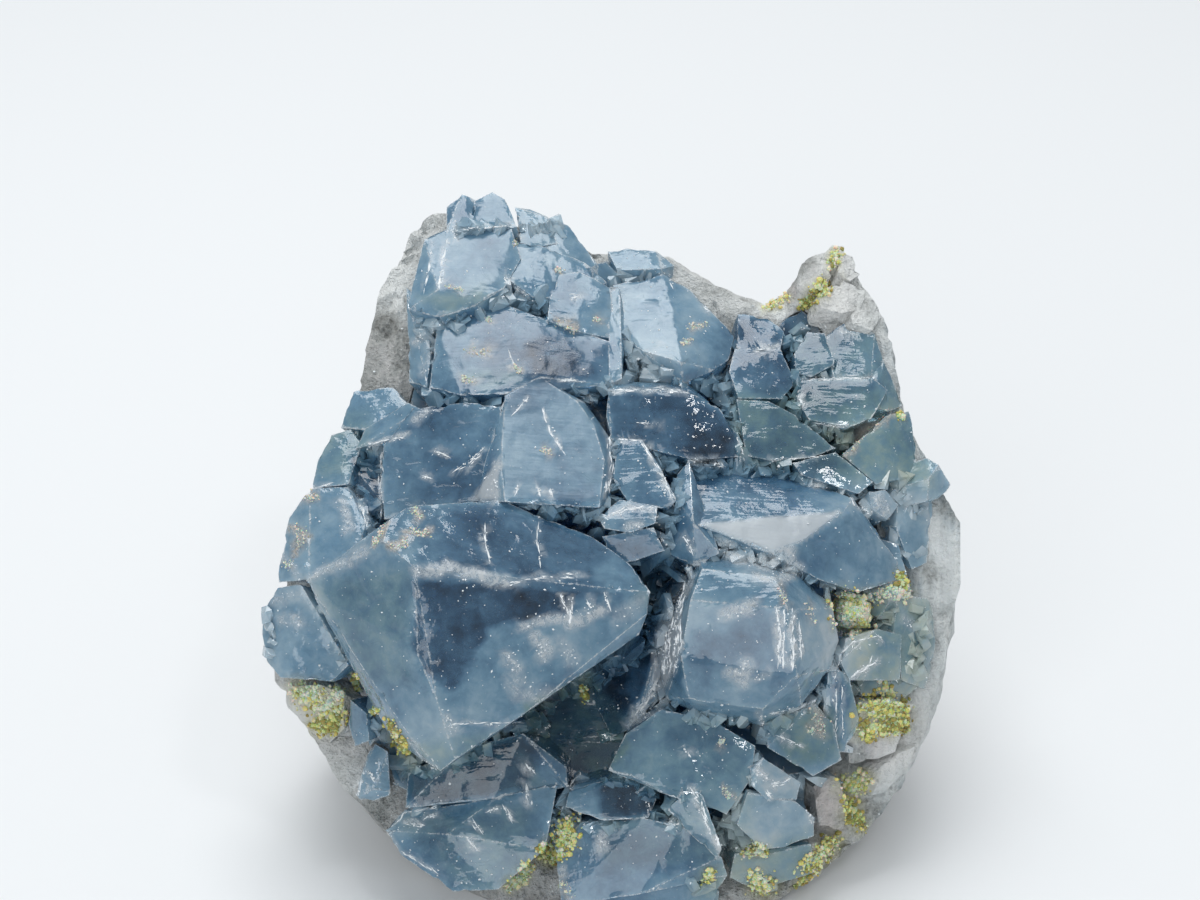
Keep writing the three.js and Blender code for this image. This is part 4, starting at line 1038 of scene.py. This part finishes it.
def tones(places):
    """How pale each place in face coordinates is: the nearest of the crystals' tones, blended."""
    spots = np.array(CRYSTAL_TONES)
    away = np.linalg.norm(places[:, None, :] - spots[None, :, :3], axis=2)
    weight = np.exp(-(away - away.min(axis=1, keepdims=True)) / TONE_BLEND)
    return (weight * spots[:, 3]).sum(axis=1) / weight.sum(axis=1)


# Pieces

def make_piece(name, points, faces, material, slot, smooth_angle=None):
    """A piece that rides with the specimen, from a shell."""
    mesh = bpy.data.meshes.new(name)
    mesh.from_pydata(points * MM, [], faces.tolist())
    mesh.materials.append(material)
    if smooth_angle is not None:
        mesh.shade_smooth()
        mesh.set_sharp_from_angle(angle=smooth_angle)
    piece = bpy.data.objects.new(name, mesh)
    bpy.context.scene.collection.objects.link(piece)
    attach(piece, "root")
    return piece


def add_attribute(piece, name, values):
    attribute = piece.data.attributes.new(name, "FLOAT", "POINT")
    attribute.data.foreach_set("value", values.astype(np.float32))


def add_marks(piece, points, faces, paler=0.0):
    """Writes the marks into the piece's attributes; most show only where it faces the reading place."""
    places = to_face(points * MM)
    seen = places[:, :2]
    front = np.clip(point_normals(points, faces) @ np.array(FACE_OUT) * 3 + 0.3, 0, 1)
    clouds = CLOUDINESS * fractal(points, 4.5, 3, 83)
    # The tone marks, which paint shade into the hollows, under the blade and into the left crevice
    tone_and_painted_shade = front * charts["tone_and_painted_shade"].at(seen, 0.25)
    add_attribute(piece, "tone", paler + clouds + tones(places) + tone_and_painted_shade)
    # White marks, painted highlights, stains and crust, only where the surface faces the reading place
    for name, waviness in (("white", 0.35), ("painted_highlight", 0.1), ("stain", 0.5), ("olive", 0.6)):
        add_attribute(piece, name, front * charts[name].at(seen, waviness))
    add_attribute(piece, "matt", charts["matt"].at(seen, 0.2))
    add_attribute(piece, "warm", np.clip(charts["warm"].at(seen), 0, 1))


def crystal_piece(name, node, material):
    """The node's crystals with chipped edges and facets that aren't quite flat."""
    points, faces = tidy_arrays(node)
    tree, sizes = sharp_edge_tree(points, faces)

    def longest(middles):
        away, size = distances(tree, middles, sizes)
        start = np.where(size > SMALL_EDGE, EDGE_LENGTH, SMALL_EDGE_LENGTH)
        allowed = np.minimum(start + LENGTH_GROWTH * away, FACET_LENGTH)
        places = to_face(middles * MM)
        marked = (charts["fine"].at(places[:, :2]) > 0) & ~behind_dish(places, -2)
        allowed = np.where(marked, np.minimum(allowed, MARK_LENGTH), allowed)
        return np.where(behind_dish(places, BURIED_DEPTH), HIDDEN_LENGTH, allowed)

    points, faces = refined(points, faces, longest)
    away, _ = distances(tree, points, sizes)
    edge = np.clip(1 - away / CHIP_REACH, 0, 1)
    bite = np.clip(fractal(points, 1.3, 3, 5) - 0.12, 0, 1)
    height = FACET_RELIEF * fractal(points, 4.0, 3, 11) - CHIP_DEPTH * edge * bite - EDGE_WEAR * edge
    height[behind_dish(to_face(points * MM), BURIED_DEPTH)] = 0
    points = clamped(raised(points, faces, height))
    piece = make_piece(name, points, faces, material, "crystal", CRYSTAL_SMOOTHING)
    add_attribute(piece, "edge", edge)
    add_marks(piece, points, faces)
    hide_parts(node.name)
    return points, faces


def rind_piece(node, material):
    """The rind with stony lumps and pits."""
    points, faces = tidy_arrays(node)
    points, faces = refined(points, faces, lambda _: RIND_LENGTH)
    swells = RIND_SWELLS * fractal(points, 4.0, 2, 31)
    knobs = RIND_KNOBS * np.abs(fractal(points, 1.8, 3, 37))
    pits = RIND_PITS * np.clip(fractal(points, 2.2, 3, 43) - 0.35, 0, 1)
    height = swells + knobs - pits
    height[points[:, 2] < FOOT_HEIGHT] = 0
    points = clamped(raised(points, faces, height))
    piece = make_piece("rind", points, faces, material, "rind", RIND_SMOOTHING)
    add_marks(piece, points, faces)
    u, v, w = to_face(points * MM).T
    near_rim = np.clip((w - RIM_LEVEL - DISH_SLOPE * v) / RIM_FADE, 0, 1)
    add_attribute(piece, "bluish", near_rim * (0.2 + 0.75 * np.clip((u - BLUISH_FROM) / RIM_FADE, 0, 1)))
    add_attribute(piece, "earth", np.clip(fractal(points, 9.0, 4, 91) * 1.4 - 0.15, 0, 1) * (1 - near_rim))
    for name, waviness in (("pink", 0), ("pale", 0.6)):
        add_attribute(piece, name, charts[name].at(np.column_stack([u, v]), waviness))
    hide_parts(node.name)
    return points, faces


def repeated(copies, faces):
    """Copies of one shape as one shell, kept within the solids' box."""
    points, faces = joined([(copy, faces) for copy in copies])
    return clamped(points), faces


ROUND_GRAIN = [Vector(corner).normalized() for corner in itertools.chain(
    ((0, a, b * GOLDEN_RATIO) for a in (-1, 1) for b in (-1, 1)),
    ((a, b * GOLDEN_RATIO, 0) for a in (-1, 1) for b in (-1, 1)),
    ((b * GOLDEN_RATIO, 0, a) for a in (-1, 1) for b in (-1, 1)))]
POINTED_GRAIN = [Vector(corner) for corner in (
    (1, 0, 0), (-1, 0, 0), (0, 1, 0), (0, -1, 0), (0, 0, 1), (0, 0, -1))]


def grains(shape, spots, stretch):
    """Grains of one shape, each at its spot with its own size, turn and unevenness."""
    corners = np.array(shape)
    copies = []
    for spot, size in spots:
        turn = Matrix.Rotation(chance.uniform(0, math.tau), 3, Vector(chance.normal(size=3)))
        scale = size * chance.uniform(*stretch, size=3)
        uneven = chance.uniform(-GRAIN_UNEVENNESS, GRAIN_UNEVENNESS, size=(len(corners), 1))
        own = corners * (1 + uneven) * scale
        copies.append(own @ np.array(turn).T + np.array(spot))
    return repeated(copies, hull_faces(shape))


def windowed(heights, reach, choose):
    """The chosen value (np.max or np.min) within reach of each cell."""
    wide = np.pad(heights, reach, mode="edge")
    size = 2 * reach + 1
    return choose(np.lib.stride_tricks.sliding_window_view(wide, (size, size)), axis=(2, 3))


def groove_spots(tree):
    """Places in the grooves between the crystals, and how far each lies below them."""
    rows = int((DRUSE_HIGH[1] - DRUSE_LOW[1]) / GROOVE_STEP)
    columns = int((DRUSE_HIGH[0] - DRUSE_LOW[0]) / GROOVE_STEP)
    heights = np.full((columns, rows), NOTHING)
    hits = {}
    for column, row in itertools.product(range(columns), range(rows)):
        spot, _ = seen_at(tree, DRUSE_LOW[0] + column * GROOVE_STEP, DRUSE_LOW[1] + row * GROOVE_STEP)
        if spot is not None:
            hits[column, row] = spot
            heights[column, row] = to_face(np.array(spot)[None] * MM)[0, 2]
    reach = int(GROOVE_REACH / GROOVE_STEP)
    filled = windowed(windowed(heights, reach, np.max), reach, np.min)
    inside = windowed(heights, reach, np.min) > NOTHING
    for cell, spot in hits.items():
        below = filled[cell] - heights[cell]
        if inside[cell] and GROOVE_DEPTH < below < GROOVE_LIMIT:
            yield spot, below


def druse_piece(tree, material):
    """Small crystals grown in the grooves: blunt blades with four sides and a roof."""
    blade = np.array([(x, y, z) for z in (-1, -0.25) for x in (-1, 1) for y in (-0.7, 0.7)]
                     + [(-0.6, 0, 0), (0.6, 0, 0)])
    copies = []
    for spot, below in groove_spots(tree):
        if chance.uniform() > DRUSE_SHARE:
            continue
        wide = chance.uniform(*DRUSE_WIDTHS)
        axis = FACE_OUT + Vector(chance.normal(size=3)) * DRUSE_TILT
        turn = axis.to_track_quat("Z", "Y").to_matrix() @ Matrix.Rotation(chance.uniform(0, math.tau), 3, "Z")
        own = blade + chance.uniform(-DRUSE_UNEVENNESS, DRUSE_UNEVENNESS, size=blade.shape)
        own = own * (wide, wide * chance.uniform(0.6, 1.1), below + DRUSE_ROOT)
        top = spot + FACE_OUT * below * chance.uniform(0.7, 1.05)
        copies.append(own @ np.array(turn).T + np.array(top))
    points, faces = repeated(copies, hull_faces(blade))
    points, faces = refined(points, faces, lambda _: DRUSE_LENGTH)
    points = clamped(raised(points, faces, DRUSE_RELIEF * fractal(points, 0.8, 2, 71)))
    piece = make_piece("small_druse", points, faces, material, "crystal", CRYSTAL_SMOOTHING)
    add_attribute(piece, "edge", 0.5 * np.clip(fractal(points, 0.7, 2, 73), 0, 1))
    # The small crystals are painted paler, as painted light against the shade in the grooves
    add_marks(piece, points, faces, DRUSE_PAINTED_LIGHT)
    return points, faces


def crust_lump(middle, half_width, half_height):
    """A knobbly lump of crust."""
    ball = bmesh.new()
    bmesh.ops.create_icosphere(ball, subdivisions=4, radius=1)
    points, faces = arrays_of(ball)
    points = points * (half_width, half_width, half_height)
    points = raised(points, faces, CRUST_RELIEF * fractal(points, 1.2, 3, 97))
    return points @ np.array(FACE_TURN).T + np.array(from_face(*middle)) / MM, faces


def crust_piece(tree, lumps, material):
    """Grains of crust and of stains where their courses meet the surface, and the lumps of crust."""
    spots = []
    tints = []
    stained = [(course, width * 0.8, STAIN_YELLOW, STAIN_COUNT * strength)
               for strength, width, course in STAINS]
    for course, width, yellow, count in CRUSTS + stained:
        largest = CRUST_GRAIN if yellow >= 0 else STAIN_GRAIN
        for _ in range(int(count * CRUST_DENSITY)):
            part = chance.uniform(0, len(course) - 1)
            start = Vector(course[int(part)])
            end = Vector(course[min(int(part) + 1, len(course) - 1)])
            middle = start.lerp(end, part % 1)
            u, v = middle + Vector(chance.normal(size=2)) * width * SPREAD_OF_CRUST
            spot, normal = seen_at(tree, u, v)
            if spot is None:
                continue
            size = largest * min(1, 0.3 + 0.22 * chance.exponential())
            spots.append((spot + normal * size * 0.3, size))
            tints.append(np.clip(yellow - 0.08 + chance.normal() * 0.27, 0, 1))
    shells = [grains(ROUND_GRAIN, spots, (0.7, 1.25)), *lumps]
    tints = [np.repeat(tints, len(ROUND_GRAIN))]
    tints += [0.3 + 0.5 * fractal(points, 1.5, 3, 101) for points, _ in lumps]
    piece = make_piece("crust", *joined(shells), material, "rind")
    add_attribute(piece, "tint", np.clip(np.concatenate(tints), 0, 1))


def slivers(tree):
    """Thin splinters lying along the finest white marks."""
    shape = np.array(POINTED_GRAIN)
    copies = []
    for strength, width, course in WHITES:
        if width > SLIVER_WIDTH:
            continue
        for start, end in zip(course, course[1:]):
            start, end = Vector(start), Vector(end)
            for _ in range(int(strength * (end - start).length * SLIVERS_PER_MM)):
                middle = start.lerp(end, chance.uniform()) + Vector(chance.normal(size=2)) * width * 0.3
                half = (end - start).normalized() * chance.uniform(0.15, 0.5)
                half += Vector(chance.normal(size=2)) * 0.04
                ends = [seen_at(tree, *(middle + side * half))[0] for side in (-1, 1)]
                if None in ends or (ends[1] - ends[0]).length > 3 * half.length:
                    continue
                long = (ends[1] - ends[0]) / 2
                turn = np.array(long.to_track_quat("X", "Z").to_matrix())
                wide = (1 + 2.5 * width) * chance.uniform(*SLIVER_WIDTHS)
                own = shape * (long.length * 1.3, wide, chance.uniform(*SLIVER_WIDTHS))
                copies.append(own @ turn.T + np.array(ends[0].lerp(ends[1], 0.5)))
    return repeated(copies, hull_faces(POINTED_GRAIN))


def splinter_piece(tree, material):
    """Crumbs all over the face and more of them at the white marks, with splinters along the finest."""
    spots = []
    for _ in range(SPECK_COUNT):
        spot, normal = seen_at(tree, *(chance.uniform(*ends) for ends in zip(SPECK_LOW, SPECK_HIGH)))
        if spot is not None:
            size = 0.035 + 0.03 * chance.exponential()
            spots.append((spot + normal * size * 0.4, min(size, 0.16)))
    for strength, width, course in WHITES:
        for _ in range(int(strength * MARK_SPECKS)):
            start, end = Vector(course[0]), Vector(course[-1])
            u, v = start.lerp(end, chance.uniform()) + Vector(chance.normal(size=2)) * width * 0.5
            spot, normal = seen_at(tree, u, v)
            if spot is not None:
                spots.append((spot + normal * 0.02, chance.uniform(0.04, 0.13)))
    shells = [grains(POINTED_GRAIN, spots, (0.5, 1.4)), slivers(tree)]
    make_piece("splinters", *joined(shells), material, "crystal")


# Studio

def make_camera():
    """A camera at the photograph's place, with its frame."""
    data = bpy.data.cameras.new("camera")
    data.lens = CAMERA_LENS
    data.sensor_width = CAMERA_SENSOR
    data.clip_start = CAMERA_CLIP
    camera = bpy.data.objects.new("camera", data)
    bpy.context.scene.collection.objects.link(camera)
    back = Vector((0, -math.cos(CAMERA_ELEVATION), math.sin(CAMERA_ELEVATION)))
    camera.location = (FACE_ORIGIN + back * READING_DISTANCE) * MM
    camera.rotation_euler = (math.pi / 2 - CAMERA_ELEVATION, 0, 0)
    bpy.context.scene.camera = camera


def make_light(name, place, size, power):
    """A square light that points at the specimen."""
    data = bpy.data.lights.new(name, "AREA")
    data.shape = "SQUARE"
    data.size = size
    data.energy = power
    light = bpy.data.objects.new(name, data)
    bpy.context.scene.collection.objects.link(light)
    light.location = place
    light.rotation_euler = (LIT_PLACE - Vector(place)).to_track_quat("-Z", "Y").to_euler()


def make_world():
    """A pale, even sky."""
    world = bpy.data.worlds.new("studio")
    bpy.context.scene.world = world
    world.use_nodes = True
    background = world.node_tree.nodes["Background"]
    background.inputs["Color"].default_value = SKY_COLOUR
    background.inputs["Strength"].default_value = SKY_STRENGTH


def make_floor():
    """A pale, plain floor."""
    bpy.ops.mesh.primitive_plane_add(size=FLOOR_SIZE, location=(0, 0, 0))
    floor = bpy.context.object
    floor.name = "floor"
    shader = Shader("floor")
    shader.set("Base Color", FLOOR_COLOUR)
    shader.set("Roughness", FLOOR_ROUGHNESS)
    floor.data.materials.append(shader.material)


make_camera()
make_world()
for light in LIGHTS:
    make_light(*light)
make_floor()
bpy.context.scene.view_settings.view_transform = "Standard"

# The charts of all marks, by the name of the attribute that they are written to
charts = {name: Chart().add_outlines(marks) for name, marks in (
    ("tone_and_painted_shade", TONES_AND_PAINTED_SHADE), ("painted_highlight", PAINTED_HIGHLIGHTS), ("matt", MATTS), ("warm", WARM), ("pink", PINKS), ("pale", PALES))}
charts["white"] = Chart().draw_strokes(WHITES)
charts["stain"] = Chart().draw_strokes(STAINS)
charts["olive"] = Chart().draw_strokes([(1.0, width, course) for course, width, _, _ in CRUSTS], 1.4)
charts["fine"] = Chart().draw_strokes(WHITES + STAINS, 1.2)

celestite = crystal_material()
crystals = crystal_piece("crystals", nodes["celestite_cluster"], celestite)
stub = crystal_piece("stub", nodes["stub_crystal"], celestite)
rind = rind_piece(nodes["geode_rind"], rind_material())
druse = druse_piece(surface_tree(crystals, stub), celestite)
lumps = [crust_lump(*lump) for lump in CRUST_LUMPS]
surface = surface_tree(crystals, stub, rind, druse, *lumps)
crust_piece(surface, lumps, crust_material())
splinter_piece(surface, speck_material())
